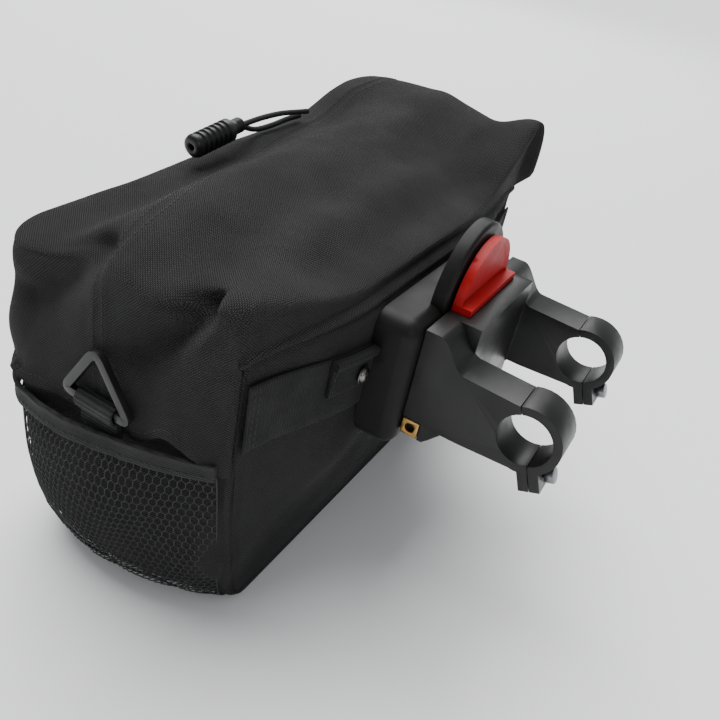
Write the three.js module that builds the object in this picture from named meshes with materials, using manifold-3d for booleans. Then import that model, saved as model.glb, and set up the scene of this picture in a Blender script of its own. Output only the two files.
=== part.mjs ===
// Handlebar bag on a quick-release bracket, in millimetres, +Z up.
// X runs to the rider's right and Y forwards. The bag's base is at height 0 and its back panel at Y 0.
import * as THREE from 'three';
import { mergeVertices } from 'three/addons/utils/BufferGeometryUtils.js';
import Module from 'manifold-3d';

const wasm = await Module();
wasm.setup();

// Cloth bag
const bagWidth = 277;
const bagDepth = 127;
const bagHeight = 155;
const clothThickness = 3;
const clothGap = 0.5;
const frontCornerRadius = 36;
const seamCornerRadius = 4;
const endBulge = 11;
const panelBow = 12;

// Lid over the bag's mouth
const lidThickness = 2.4;
const lidRise = 42;
const endSkirtDrop = 60;
const frontSkirtDrop = 12;
const skirtOverlap = 6;
const frontSlopeInset = 30;
const frontSlopeWidth = 28;
const edgeFullness = 10;
const edgeRoundness = 0.2;

// Net pocket on each end
const netThickness = 1;
const netGap = 0.5;
const pocketBulge = 12;
const pocketDrop = 66;
const pocketFloor = 3.5;
const pocketFoot = 10;
const bindingHeight = 10;
const bindingThickness = 2;
const netColumns = 8;
const netRows = 5;
const netHoleShare = 0.68;
const netFrom = 0.012;
const netTo = 0.985;

// Webbing, ring and rivets
const strapHeight = 34;
const strapThickness = 1.6;
const strapDrop = 13;
const strapSlope = 9;
const strapEndLength = 30;
const strapEndHeight = 20;
const rivetRadius = 4.5;
const rivetHeight = 2.6;
const rivetInset = 9.5;
const webbingWidth = 21;
const webbingTail = 13;
const webbingLayer = 1.6;
const ringWidth = 35;
const ringHeight = 28;
const ringBar = 4;
const ringPinRadius = 1.6;
const ringThickness = 3;
const ringDrop = 50.5;
const ringForward = 62;
const ringPlay = 0.35;

// Bag-side housing
const housingWidth = 120;
const housingHeight = 70;
const housingDrop = 6;
const housingRound = 9;
const housingDepth = 21.5;
const housingWall = 2.5;
const domeRadius = 34;
const domeThickness = 8;

// Bracket
const joinGap = 0.4;
const bracketWidth = 107;
const armWidth = 20;
const deckDepth = 19;
const deckDrop = 8;
const webDepth = 58;
const bracketWall = 2.2;
const webWall = 3.6;
const slopeStart = 7.5;
const slopeEnd = 22;
const armDrop = 14;
const clampReach = 56.5;
const clampDrop = 32.5;
const clampOuterRadius = 17.2;
const barRadius = 13;
const partingLean = 23;
const lugLength = 9;
const lugThickness = 5;
const screwRadius = 2;
const screwHeadRadius = 4;
const screwHeadHeight = 4;
const tongueWidth = 46;
const tongueNeckWidth = 34;
const tongueFlange = 3.5;
const tongueNeck = 3;
const tongueHeight = 42;
const tongueDrop = 8;
const slideGap = 0.5;
const nutSide = 8.8;
const nutThickness = 2.4;
const nutHoleRadius = 2.5;

// Release button
const buttonRadius = 28.5;
const buttonThickness = 4.5;
const buttonRim = 3;
const buttonDish = 1;
const buttonBaseDepth = 9.5;
const buttonBaseHeight = 3.5;
const buttonTravel = 5;
const buttonStemWidth = 20;
const buttonStemHeight = 6;
const buttonStemDepth = 6;

// Drawcord and its lock
const cordRadius = 1.5;
const lockLength = 29;
const lockRadius = 6;
const lockRibs = 6;
const plungerLength = 9;
const plungerRadius = 4;
const lockCentre = [-27, 113, 179.6];
const lockTurn = 8;
const cordUpper = [
  [-2.7, 113, 182.2], [4, 113.2, 182.6], [17, 113.5, 183], [34, 114, 182.4], [48, 113.4, 181.2],
  [58, 111.5, 180.8],
];
const cordLower = [
  [-2.4, 116.3, 180.8], [1.6, 116.6, 180.6], [8, 117.2, 177.6], [18, 117.5, 175], [32, 117.5, 175],
  [46, 117, 176.4], [56, 115.2, 177.5],
];

// The bag's plan at each height. Heights are shares of the bag's height, half of its half width,
// front and back of its depth, and bulge, corner and bow of the sizes with those names.
const sections = [
  { height: 0, half: 0.81, bulge: 0.65, front: 0.78, back: 0.012, corner: 0.9, bow: 0 },
  { height: 0.02, half: 0.87, bulge: 0.8, front: 0.86, back: 0.004, corner: 0.95, bow: 0 },
  { height: 0.065, half: 0.91, bulge: 0.95, front: 0.93, back: 0, corner: 1, bow: 0.1 },
  { height: 0.18, half: 0.935, bulge: 1, front: 0.985, back: 0, corner: 1, bow: 0.35 },
  { height: 0.37, half: 0.95, bulge: 1, front: 1.01, back: 0, corner: 0.95, bow: 0.75 },
  { height: 0.5, half: 0.96, bulge: 0.9, front: 1.015, back: 0, corner: 0.85, bow: 1 },
  { height: 0.65, half: 0.975, bulge: 0.75, front: 1.015, back: 0, corner: 0.75, bow: 1 },
  { height: 0.82, half: 0.99, bulge: 0.5, front: 1.01, back: 0, corner: 0.7, bow: 1 },
  { height: 0.965, half: 0.998, bulge: 0.3, front: 0.99, back: 0, corner: 0.68, bow: 1 },
  { height: 1, half: 1, bulge: 0.25, front: 0.98, back: 0, corner: 0.66, bow: 0.6 },
];

// The lid's rise over the seam, as shares of lidRise. A row lies at a share of the half width from the
// rider's left to the right, its columns at the back ear, a quarter, the middle and the front.
const crown = [
  { across: -1, ear: 0.68, quarter: 0.36, middle: 0.46, front: 0.1 },
  { across: -0.8, ear: 0.42, quarter: 0.42, middle: 0.56, front: 0.16 },
  { across: -0.45, ear: 0.18, quarter: 0.44, middle: 0.6, front: 0.27 },
  { across: 0, ear: 0.16, quarter: 0.46, middle: 0.64, front: 0.38 },
  { across: 0.45, ear: 0.2, quarter: 0.5, middle: 0.7, front: 0.5 },
  { across: 0.8, ear: 0.66, quarter: 0.66, middle: 0.9, front: 0.84 },
  { across: 1, ear: 1, quarter: 0.78, middle: 0.98, front: 1 },
];

// Corners of the lid that stand proud: their place as a share of the depth, and how far they lean out
// and back as shares of earSize.
const earSize = 26;
const ears = [
  { side: -1, forward: 0, out: 0, back: 0.06 },
  { side: 1, forward: 0, out: 0.24, back: 0.42 },
  { side: 1, forward: 0.75, out: 0.3, back: 0 },
];

// Pull folds on the lid's ends. Forward and rise run from the seam corner, as shares of the depth and
// of lidRise, and width and depth are shares of the cloth fold size below.
const foldSize = 12;
const folds = [
  { side: -1, forward: 0.94, rise: -0.95, forwardTo: 0.5, riseTo: 0.5, width: 0.75, depth: 0.5 },
  { side: -1, forward: 0.36, rise: -0.4, forwardTo: 0.08, riseTo: 0.55, width: 0.7, depth: 0.55 },
  { side: 1, forward: 0.8, rise: -0.8, forwardTo: 0.5, riseTo: 0.5, width: 0.8, depth: 0.35 },
  { side: 1, forward: 0.4, rise: -0.5, forwardTo: 0.22, riseTo: 0.6, width: 0.8, depth: 0.4 },
];

// The pocket's mouth: how far it lies under the seam, as shares of pocketDrop, at shares of the depth.
const pocketMouth = [
  { forward: 0, drop: 0.8 },
  { forward: 0.3, drop: 0.88 },
  { forward: 0.65, drop: 0.985 },
  { forward: 0.85, drop: 1 },
  { forward: 1, drop: 0.97 },
];

const rad = THREE.MathUtils.degToRad;
const lerp = THREE.MathUtils.lerp;
const seamHeight = bagHeight;
const halfWidth = bagWidth / 2;

function tableAt(table, key, value, column) {
  const last = table.length - 1;
  if (value <= table[0][key]) return table[0][column];
  if (value >= table[last][key]) return table[last][column];
  const next = table.findIndex((row) => row[key] >= value);
  const before = table[next - 1];
  const share = (value - before[key]) / (table[next][key] - before[key]);
  return lerp(before[column], table[next][column], share);
}

// A closed body from rings of points. A ring of one point is a pole, and the list starts and ends on one.
function loft(rings) {
  const positions = [];
  const starts = rings.map((ring) => {
    const start = positions.length / 3;
    ring.forEach((point) => positions.push(...point));
    return start;
  });
  const faces = [];
  for (let r = 0; r + 1 < rings.length; r++) {
    const count = Math.max(rings[r].length, rings[r + 1].length);
    const lower = (i) => starts[r] + (rings[r].length === 1 ? 0 : i % count);
    const upper = (i) => starts[r + 1] + (rings[r + 1].length === 1 ? 0 : i % count);
    for (let i = 0; i < count; i++) {
      if (rings[r].length > 1) faces.push(lower(i), lower(i + 1), upper(i));
      if (rings[r + 1].length > 1) faces.push(lower(i + 1), upper(i + 1), upper(i));
    }
  }
  return facingOut(positions, faces);
}

function facingOut(positions, faces) {
  const corner = (k) => new THREE.Vector3().fromArray(positions, 3 * k);
  let volume = 0;
  for (let i = 0; i < faces.length; i += 3) {
    volume += corner(faces[i]).dot(corner(faces[i + 1]).cross(corner(faces[i + 2])));
  }
  if (volume < 0) faces.reverse();
  const geometry = new THREE.BufferGeometry();
  geometry.setAttribute('position', new THREE.Float32BufferAttribute(positions, 3));
  geometry.setIndex(faces);
  return geometry;
}

function centreOf(ring) {
  const sum = ring.reduce((a, p) => [a[0] + p[0], a[1] + p[1], a[2] + p[2]], [0, 0, 0]);
  return sum.map((value) => value / ring.length);
}

// A bar lofted through sections of a few points each, with flat ends.
function bar(ringList) {
  return loft([[centreOf(ringList[0])], ...ringList, [centreOf(ringList.at(-1))]]);
}

function solid(geometry) {
  const bare = geometry.clone();
  bare.deleteAttribute('normal');
  bare.deleteAttribute('uv');
  const merged = mergeVertices(bare, 1e-4);
  return new wasm.Manifold(new wasm.Mesh({
    numProp: 3,
    vertProperties: new Float32Array(merged.attributes.position.array),
    triVerts: new Uint32Array(merged.index.array),
  }));
}

function geometryOf(manifold) {
  const mesh = manifold.getMesh();
  const geometry = new THREE.BufferGeometry();
  geometry.setAttribute('position', new THREE.BufferAttribute(new Float32Array(mesh.vertProperties), 3));
  geometry.setIndex(new THREE.BufferAttribute(new Uint32Array(mesh.triVerts), 1));
  return geometry;
}

function box(x0, x1, y0, y1, z0, z1) {
  const geometry = new THREE.BoxGeometry(x1 - x0, y1 - y0, z1 - z0);
  return geometry.translate((x0 + x1) / 2, (y0 + y1) / 2, (z0 + z1) / 2);
}

function shapeOf(points) {
  return new THREE.Shape(points.map(([u, v]) => new THREE.Vector2(u, v)));
}

const plainPrism = { bevelEnabled: false, curveSegments: 8 };

// Prisms of an outline: across X from points (y, z), along Y from points (x, z).
function prismX(shape, x0, x1) {
  const geometry = new THREE.ExtrudeGeometry(shape, { depth: x1 - x0, ...plainPrism });
  const turn = new THREE.Matrix4().set(0, 0, 1, x0, 1, 0, 0, 0, 0, 1, 0, 0, 0, 0, 0, 1);
  return geometry.applyMatrix4(turn);
}

function prismY(shape, y0, y1) {
  const geometry = new THREE.ExtrudeGeometry(shape, { depth: y1 - y0, ...plainPrism });
  return geometry.rotateX(Math.PI / 2).translate(0, y1, 0);
}

function roundedRectangle(x0, x1, z0, z1, radius) {
  const shape = new THREE.Shape();
  shape.moveTo(x0 + radius, z0);
  shape.lineTo(x1 - radius, z0).absarc(x1 - radius, z0 + radius, radius, -Math.PI / 2, 0);
  shape.lineTo(x1, z1 - radius).absarc(x1 - radius, z1 - radius, radius, 0, Math.PI / 2);
  shape.lineTo(x0 + radius, z1).absarc(x0 + radius, z1 - radius, radius, Math.PI / 2, Math.PI);
  shape.lineTo(x0, z0 + radius).absarc(x0 + radius, z0 + radius, radius, Math.PI, 1.5 * Math.PI);
  return shape;
}

// The bag's plan outline at a height. Places run round it anticlockwise: 0 to 1 along the back panel,
// 1 to 2 round the back right corner, 2 to 3 along the right end, 3 to 4 round its front corner, and so on.
function planAt(height) {
  const share = height / bagHeight;
  const read = (column) => tableAt(sections, 'height', share, column);
  return {
    half: read('half') * halfWidth,
    bulge: read('bulge') * endBulge,
    front: read('front') * bagDepth,
    back: read('back') * bagDepth,
    corner: read('corner') * frontCornerRadius,
    bow: read('bow') * panelBow,
  };
}

function outlinePoint(place, height, out, backOut = out) {
  const plan = planAt(height);
  const half = plan.half + out;
  const front = plan.front + out;
  const back = plan.back - backOut;
  const rearRadius = seamCornerRadius;
  const frontRadius = plan.corner;
  const side = Math.floor(place) % 8;
  const share = place - Math.floor(place);
  const right = [
    () => [lerp(-half + rearRadius, half - rearRadius, share), back],
    () => arcPoint(half - rearRadius, back + rearRadius, rearRadius, -90 + 90 * share),
    () => [half, lerp(back + rearRadius, front - frontRadius, share)],
    () => arcPoint(half - frontRadius, front - frontRadius, frontRadius, 90 * share),
    () => [lerp(half - frontRadius, -half + frontRadius, share), front],
    () => arcPoint(-half + frontRadius, front - frontRadius, frontRadius, 90 + 90 * share),
    () => [-half, lerp(front - frontRadius, back + rearRadius, share)],
    () => arcPoint(-half + rearRadius, back + rearRadius, rearRadius, 180 + 90 * share),
  ];
  const [x, y] = right[side]();
  const alongDepth = (2 * (y - back)) / (front - back) - 1;
  const sideways = plan.bulge * (1 - alongDepth ** 2) * Math.abs(x / half) ** 6;
  const flat = 1 - THREE.MathUtils.smoothstep(Math.abs(x), housingWidth / 2 + 2, half);
  const rearShare = Math.max(0, 1 - (y - back) / (front - back)) ** 6;
  return [x + Math.sign(x) * sideways, y - plan.bow * flat * rearShare, height];
}

function arcPoint(x, y, radius, degrees) {
  return [x + radius * Math.cos(rad(degrees)), y + radius * Math.sin(rad(degrees))];
}

// Places round the outline, with a count of steps for the back, rear corner, end, front corner and front.
function placesRound(back, rearCorner, end, frontCorner, front) {
  const steps = [back, rearCorner, end, frontCorner, front, frontCorner, end, rearCorner];
  return steps.flatMap((count, side) => Array.from({ length: count }, (_, i) => side + i / count));
}

function ringAt(places, height, out, backOut) {
  return places.map((place) => outlinePoint(place, height, out, backOut));
}

// Cloth body: an open cup whose rim rises only at the back panel.
function bagBody() {
  const places = placesRound(18, 2, 6, 5, 5);
  const outerHeights = sections.map((row) => row.height);
  const innerHeights = [1, 0.965, 0.65, 0.5, 0.37, 0.18, 0.065, 0];
  const outer = outerHeights.map((share) => ringAt(places, share * (bagHeight - clothGap), 0));
  const inner = innerHeights.map((share) => {
    const ring = ringAt(places, share * (bagHeight - clothGap), -clothThickness);
    const lift = clothThickness * (1 - share);
    return ring.map(([x, y, z]) => [x, y, z + lift]);
  });
  const middle = bagDepth * 0.4;
  const cup = solid(loft([[[0, middle, 0]], ...outer, ...inner, [[0, middle, clothThickness]]]));
  const rimHeight = seamHeight - endSkirtDrop + skirtOverlap;
  const mouth = solid(box(-bagWidth, bagWidth, seamCornerRadius, 2 * bagDepth, rimHeight, 2 * bagHeight));
  return geometryOf(cup.subtract(mouth.subtract(frontFlap(skirtOverlap))));
}

// The front stretch that the lid's short front hem leaves open, raised and narrowed by an overlap.
function frontFlap(overlap) {
  const low = halfWidth - frontSlopeInset - overlap;
  const high = low - frontSlopeWidth;
  const hem = seamHeight - endSkirtDrop + overlap;
  const frontHem = seamHeight - frontSkirtDrop + overlap;
  const leftSide = [[-low, 0], [-low, hem], [-high, frontHem]];
  const outline = shapeOf([...leftSide, [high, frontHem], [low, hem], [low, 0]]);
  return solid(prismY(outline, bagDepth / 2, 2 * bagDepth));
}

function crownHeight(x, y) {
  const across = x / halfWidth;
  const columns = ['ear', 'quarter', 'middle', 'front'];
  const stops = [0.04, 0.28, 0.55, 0.86];
  const heights = columns.map((column) => tableAt(crown, 'across', across, column));
  const forward = THREE.MathUtils.clamp(y / bagDepth, stops[0], stops[3]);
  const next = Math.max(1, stops.findIndex((stop) => stop >= forward));
  const share = THREE.MathUtils.smootherstep(forward, stops[next - 1], stops[next]);
  return lidRise * lerp(heights[next - 1], heights[next], share);
}

function foldShift(point) {
  const shift = new THREE.Vector3();
  const place = new THREE.Vector3(...point);
  for (const fold of folds) {
    const x = fold.side * halfWidth;
    const from = new THREE.Vector3(x, fold.forward * bagDepth, seamHeight + fold.rise * lidRise);
    const to = new THREE.Vector3(x, fold.forwardTo * bagDepth, seamHeight + fold.riseTo * lidRise);
    const nearest = new THREE.Line3(from, to).closestPointToPoint(place, true, new THREE.Vector3());
    const hem = seamHeight - endSkirtDrop + skirtOverlap;
    const clear = THREE.MathUtils.smoothstep(place.z, hem, hem + foldSize);
    const near = clear * Math.exp(-((nearest.distanceTo(place) / (fold.width * foldSize)) ** 2));
    shift.x -= fold.side * fold.depth * foldSize * near;
    shift.z -= 0.35 * fold.depth * foldSize * near * Math.sign(place.z - seamHeight + lidRise / 4);
  }
  return shift.add(earLean(place));
}

// The lid's proud corners lean out of its box, the higher the more.
function earLean(place) {
  const lean = new THREE.Vector3();
  for (const ear of ears) {
    const corner = new THREE.Vector3(ear.side * halfWidth, ear.forward * bagDepth, place.z);
    const near = Math.exp(-((corner.distanceTo(place) / (2 * earSize)) ** 2));
    const risen = THREE.MathUtils.smoothstep(place.z, seamHeight - earSize / 4, seamHeight + earSize / 3);
    lean.x += ear.side * ear.out * earSize * near * risen;
    lean.y -= ear.back * earSize * near * risen;
  }
  return lean;
}

// Lid: a soft cap with a deep skirt at the ends, cut away over the back panel.
function lidRings(places, out, backOut, drop) {
  const rings = [];
  const middle = bagDepth * 0.5;
  for (const reach of [0.3, 0.55, 0.75, 0.88, 0.95, 0.985]) {
    const round = (1 - reach ** edgeFullness) ** edgeRoundness;
    rings.push(ringAt(places, seamHeight, out, backOut).map(([x, y]) => {
      const px = x * reach;
      const py = lerp(middle, y, reach);
      return [px, py, seamHeight + crownHeight(px, py) * round - drop];
    }));
  }
  for (const share of [0, 0.14, 0.34, 0.56, 0.78, 1]) {
    const back = share > 0 ? backOut * 0.15 : backOut;
    rings.push(ringAt(places, seamHeight - share * endSkirtDrop, out, back));
  }
  return rings.map((ring) => ring.map((point) => {
    const shift = foldShift(point);
    return [point[0] + shift.x, point[1] + shift.y, point[2] + shift.z];
  }));
}

function lid() {
  const places = placesRound(12, 2, 13, 5, 9);
  const outside = clothGap + lidThickness;
  const top = seamHeight + crownHeight(0, bagDepth * 0.5);
  const middle = bagDepth * 0.5;
  const outer = lidRings(places, outside, 0, 0);
  const inner = lidRings(places, clothGap, -lidThickness, lidThickness).reverse();
  const cap = solid(loft([[[0, middle, top]], ...outer, ...inner, [[0, middle, top - lidThickness]]]));
  const overPanel = solid(box(-bagWidth, bagWidth, -bagDepth, seamCornerRadius + clothGap, 0, seamHeight));
  return geometryOf(cap.subtract(overPanel).subtract(frontFlap(0)));
}

// Net pocket. Along runs from the back seam forwards round the front corner, up from the floor to the mouth.
function pocketPlace(side, along) {
  const place = along < 0.72 ? 2 + along / 0.72 : 3 + (along - 0.72) / 0.28;
  return side > 0 ? place : 9 - place;
}

function mouthHeight(along) {
  return seamHeight - pocketDrop * tableAt(pocketMouth, 'forward', Math.min(1, along), 'drop');
}

function pocketOut(along, up) {
  const overSkirt = (lidThickness + 2 * clothGap) * Math.max(0, up) ** 2;
  const round = Math.sin(Math.PI * THREE.MathUtils.clamp(along, 0, 1)) ** 0.7;
  const bow = up < 0 ? 0 : round * Math.sin(Math.PI * (0.27 + 0.57 * up));
  return netGap + overSkirt + pocketBulge * bow;
}

function netPoint(side, along, up, out) {
  const top = mouthHeight(along) - bindingHeight - clothGap;
  const height = up < 0 ? pocketFloor : lerp(pocketFoot, top, up);
  return outlinePoint(pocketPlace(side, along), height, pocketOut(along, up) + out, 0);
}

// A honeycomb in courses like brickwork over a plain foot strip, which is row -1.
// Whole cells are pierced, half cells at the edges are not.
function netPocket(side) {
  const shift = 0.13;
  const positions = [];
  const known = new Map();
  const faces = [];
  const vertex = (u, v, layer) => {
    const key = `${u.toFixed(4)} ${v.toFixed(4)} ${layer}`;
    if (!known.has(key)) {
      known.set(key, positions.length / 3);
      const along = lerp(netFrom, netTo, u / netColumns);
      positions.push(...netPoint(side, along, v / netRows, layer * netThickness));
    }
    return known.get(key);
  };
  const quad = (a, b, c, d, layer) => {
    const ids = [a, b, c, d].map(([u, v]) => vertex(u, v, layer));
    if (layer) faces.push(ids[0], ids[1], ids[2], ids[0], ids[2], ids[3]);
    else faces.push(ids[0], ids[2], ids[1], ids[0], ids[3], ids[2]);
  };
  const wall = (a, b) => {
    const ids = [vertex(...a, 0), vertex(...b, 0), vertex(...b, 1), vertex(...a, 1)];
    faces.push(ids[0], ids[1], ids[2], ids[0], ids[2], ids[3]);
  };
  const line = (u, row, peak) => {
    const inside = row > 0 && row < netRows && u > 0 && u < netColumns;
    return [u, row + (inside ? peak * shift : 0)];
  };
  for (let row = 0; row < netRows; row++) {
    const first = row % 2 ? 0.5 : 0;
    for (let u = first; u + 1 <= netColumns; u++) {
      const rim = [
        line(u, row, 1), line(u + 0.5, row, -1), line(u + 1, row, 1),
        line(u + 1, row + 1, -1), line(u + 0.5, row + 1, 1), line(u, row + 1, -1),
      ];
      const hole = rim.map(([a, b]) => [
        lerp(u + 0.5, a, netHoleShare),
        lerp(row + 0.5, b, netHoleShare),
      ]);
      rim.forEach((point, i) => {
        const j = (i + 1) % rim.length;
        quad(point, rim[j], hole[j], hole[i], 1);
        quad(point, rim[j], hole[j], hole[i], 0);
        wall(hole[j], hole[i]);
      });
    }
    if (row % 2) {
      for (const [u0, u1] of [[0, 0.5], [netColumns - 0.5, netColumns]]) {
        const peak = (u, up) => line(u, row + up, u === 0 || u === netColumns ? 0 : up ? -1 : 1);
        quad(peak(u0, 0), peak(u1, 0), peak(u1, 1), peak(u0, 1), 1);
        quad(peak(u0, 0), peak(u1, 0), peak(u1, 1), peak(u0, 1), 0);
      }
    }
    wall([0, row + 1], [0, row]);
    wall([netColumns, row], [netColumns, row + 1]);
  }
  for (let u = 0; u < netColumns; u += 0.5) {
    quad([u, -1], [u + 0.5, -1], [u + 0.5, 0], [u, 0], 1);
    quad([u, -1], [u + 0.5, -1], [u + 0.5, 0], [u, 0], 0);
    wall([u, -1], [u + 0.5, -1]);
    wall([u + 0.5, netRows], [u, netRows]);
  }
  wall([0, 0], [0, -1]);
  wall([netColumns, -1], [netColumns, 0]);
  return facingOut(positions, faces);
}

function pocketBinding(side) {
  const steps = 26;
  const rings = Array.from({ length: steps + 1 }, (_, i) => {
    const along = lerp(netFrom, netTo, i / steps);
    const top = mouthHeight(along);
    const out = pocketOut(along, 1);
    const corner = (height, layer) => outlinePoint(pocketPlace(side, along), height, out + layer, 0);
    const low = top - bindingHeight;
    return [corner(low, 0), corner(low, bindingThickness), corner(top, bindingThickness), corner(top, 0)];
  });
  return bar(rings);
}

// The lid's outer face on an end, where the ring hangs.
function endFace(drop) {
  const place = outlinePoint(2.5, seamHeight - drop, clothGap + lidThickness, 0);
  return place[0];
}

function ringPlane() {
  const face = Math.max(endFace(ringDrop), endFace(endSkirtDrop));
  return face + clothGap + webbingLayer + ringPlay + ringPinRadius;
}

function webbingTab(side) {
  const reach = ringPinRadius + ringPlay + webbingLayer;
  const barCentre = seamHeight - ringDrop + ringBar / 2;
  const holeHalf = ringPinRadius + ringPlay;
  const bottom = barCentre - holeHalf - webbingTail;
  const inner = -reach;
  const shape = shapeOf([
    [inner, bottom], [inner + 2 * webbingLayer, bottom],
    [inner + 2 * webbingLayer, barCentre - holeHalf - webbingLayer - 1.5],
    [reach, barCentre - holeHalf - 0.5],
    [reach, barCentre + holeHalf + 0.5],
    [reach - 1, barCentre + holeHalf + webbingLayer],
    [inner + 1, barCentre + holeHalf + webbingLayer],
    [inner, barCentre + holeHalf + 0.5],
  ]);
  shape.holes.push(new THREE.Path([
    [inner + webbingLayer, barCentre - holeHalf], [reach - webbingLayer, barCentre - holeHalf],
    [reach - webbingLayer, barCentre + holeHalf], [inner + webbingLayer, barCentre + holeHalf],
  ].map(([u, v]) => new THREE.Vector2(u, v))));
  const y0 = ringForward - webbingWidth / 2;
  const geometry = prismY(shape, y0, y0 + webbingWidth).translate(0, -ringForward, 0);
  if (side < 0) geometry.rotateZ(Math.PI);
  return geometry.translate(side * ringPlane(), ringForward, 0);
}

function roundedTriangle(width, height, radius, steps) {
  const centres = [[-width / 2 + radius, radius, 150, 270], [width / 2 - radius, radius, -90, 30]];
  centres.push([0, height - radius, 30, 150]);
  return centres.flatMap(([x, y, from, to]) => Array.from({ length: steps + 1 }, (_, i) => {
    return arcPoint(x, y, radius, lerp(from, to, i / steps));
  }));
}

function ring(side) {
  const outline = shapeOf(roundedTriangle(ringWidth, ringHeight, 5, 4));
  const inside = roundedTriangle(ringWidth - 2.1 * ringBar, ringHeight - 2.2 * ringBar, 1.5, 2);
  outline.holes.push(new THREE.Path(inside.map(([u, v]) => new THREE.Vector2(u, v + ringBar))));
  const base = seamHeight - ringDrop;
  const half = ringThickness / 2;
  const cut = webbingWidth / 2 + ringPlay;
  const tabRoom = solid(box(-ringThickness, ringThickness, -cut, cut, -ringBar, ringBar + ringPlay));
  const frame = solid(prismX(outline, -half, half)).subtract(tabRoom);
  const pin = new THREE.CylinderGeometry(ringPinRadius, ringPinRadius, 2 * cut + 2, 10);
  const geometry = geometryOf(frame.add(solid(pin.translate(0, 0, ringBar / 2))));
  return geometry.translate(side * ringPlane(), ringForward, base);
}

// Back panel's strap, from an end seam to the housing, with a folded end under a rivet.
function strapCentre(x) {
  const bare = halfWidth - housingWidth / 2;
  const outward = THREE.MathUtils.clamp((Math.abs(x) - housingWidth / 2) / bare, 0, 1);
  return seamHeight - strapDrop - strapHeight / 2 - strapSlope * (1 - outward);
}

function panelOut(x, height) {
  const half = planAt(height).half - seamCornerRadius;
  const share = THREE.MathUtils.clamp((x + half) / (2 * half), 0, 0.999);
  return -outlinePoint(share, height, 0)[1];
}

function backStrap(side) {
  const from = housingWidth / 2 + joinGap;
  const to = planAt(strapCentre(halfWidth)).half - seamCornerRadius - 1;
  const steps = 10;
  return bar(Array.from({ length: steps + 1 }, (_, i) => {
    const x = side * lerp(from, to, i / steps);
    const middle = strapCentre(x);
    const corner = (up, layer) => {
      const height = middle + up * strapHeight / 2;
      return [x, -panelOut(x, height) - clothGap - layer, height];
    };
    return [corner(-1, 0), corner(-1, strapThickness), corner(1, strapThickness), corner(1, 0)];
  }));
}

function strapEnd(side) {
  const from = housingWidth / 2 + joinGap;
  const steps = 4;
  return bar(Array.from({ length: steps + 1 }, (_, i) => {
    const x = side * lerp(from, from + strapEndLength, i / steps);
    const middle = strapCentre(x);
    const top = middle + strapHeight / 2;
    const corner = (height, layer) => {
      const y = -panelOut(x, height) - 1.6 * clothGap - strapThickness - layer;
      return [x, y, height];
    };
    const low = top - strapEndHeight;
    return [corner(low, 0), corner(low, strapThickness), corner(top, strapThickness), corner(top, 0)];
  }));
}

function rivetPlace(side) {
  const x = side * (housingWidth / 2 + rivetInset);
  const height = strapCentre(x) + strapHeight / 2 - strapEndHeight * 0.62;
  const y = -panelOut(x, height) - 2 * clothGap - 2 * strapThickness - clothGap;
  return [x, y, height];
}

function rivet() {
  const profile = [[0, 0], [rivetRadius, 0]];
  for (let i = 1; i < 5; i++) {
    const angle = rad(90 * i / 5);
    profile.push([rivetRadius * Math.cos(angle) ** 0.8, rivetHeight * Math.sin(angle)]);
  }
  profile.push([0, rivetHeight]);
  const lathe = new THREE.LatheGeometry(profile.map(([r, h]) => new THREE.Vector2(r, h)), 12);
  return lathe.rotateX(Math.PI);
}

// Bag-side housing: a thick rounded plate with a slot for the bracket's tongue, open at the bottom.
const panelFace = -panelBow;
const housingBack = panelFace - clothGap;
const housingFace = housingBack - housingDepth;
const housingTop = seamHeight - housingDrop;
const housingBottom = housingTop - housingHeight;
const bracketFront = housingFace - joinGap;
const deckTop = seamHeight - deckDrop;
const tongueTop = deckTop - tongueDrop;

function housing() {
  const half = housingWidth / 2;
  const round = housingRound;
  const outline = roundedRectangle(-half, half, housingBottom, housingTop, round);
  const front = solid(prismY(outline, housingFace, housingBack));
  const sideShape = new THREE.Shape();
  sideShape.moveTo(housingBack, housingBottom);
  sideShape.lineTo(housingBack, housingTop);
  sideShape.lineTo(housingFace + round, housingTop);
  sideShape.absarc(housingFace + round, housingTop - round, round, Math.PI / 2, Math.PI);
  sideShape.absarc(housingFace + round, housingBottom + round, round, Math.PI, 1.5 * Math.PI);
  const dome = new THREE.Shape();
  dome.absarc(0, deckTop, domeRadius, 0, Math.PI);
  const domePlate = solid(prismY(dome, housingFace + 0.5, housingFace + domeThickness));
  const slotEnd = housingBottom - 10;
  const slotTop = tongueTop + slideGap;
  const neck = tongueNeckWidth / 2 + slideGap;
  const flange = tongueWidth / 2 + slideGap;
  const flangeFrom = bracketFront + tongueNeck - slideGap;
  const slot = solid(box(-neck, neck, housingFace - 1, flangeFrom + 1, slotEnd, slotTop));
  const slotDeep = flangeFrom + tongueFlange + 2 * slideGap;
  const slotBack = solid(box(-flange, flange, flangeFrom, slotDeep, slotEnd, slotTop));
  const plate = front.intersect(solid(prismX(sideShape, -half, half)));
  const rib = housingWall;
  const [low, high] = [housingBottom + rib, housingTop - rib];
  const middleHollow = solid(box(-flange, flange, slotDeep + rib, housingBack + 1, low, high));
  const rim = housingRound - rib;
  const sideHollow = (x0, x1) => {
    const shallow = solid(box(x0, x1, housingFace + 2 * rib, housingBack + 1, low, high));
    const deepFrom = x0 < 0 ? x0 + rim : x0;
    const deepTo = x0 < 0 ? x1 : x1 - rim;
    return shallow.add(solid(box(deepFrom, deepTo, housingFace + rib, housingBack, low + rim, high - rim)));
  };
  return geometryOf(plate.add(domePlate).subtract(slot).subtract(slotBack).subtract(middleHollow)
    .subtract(sideHollow(-half + rib, -flange - rib)).subtract(sideHollow(flange + rib, half - rib)));
}

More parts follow.
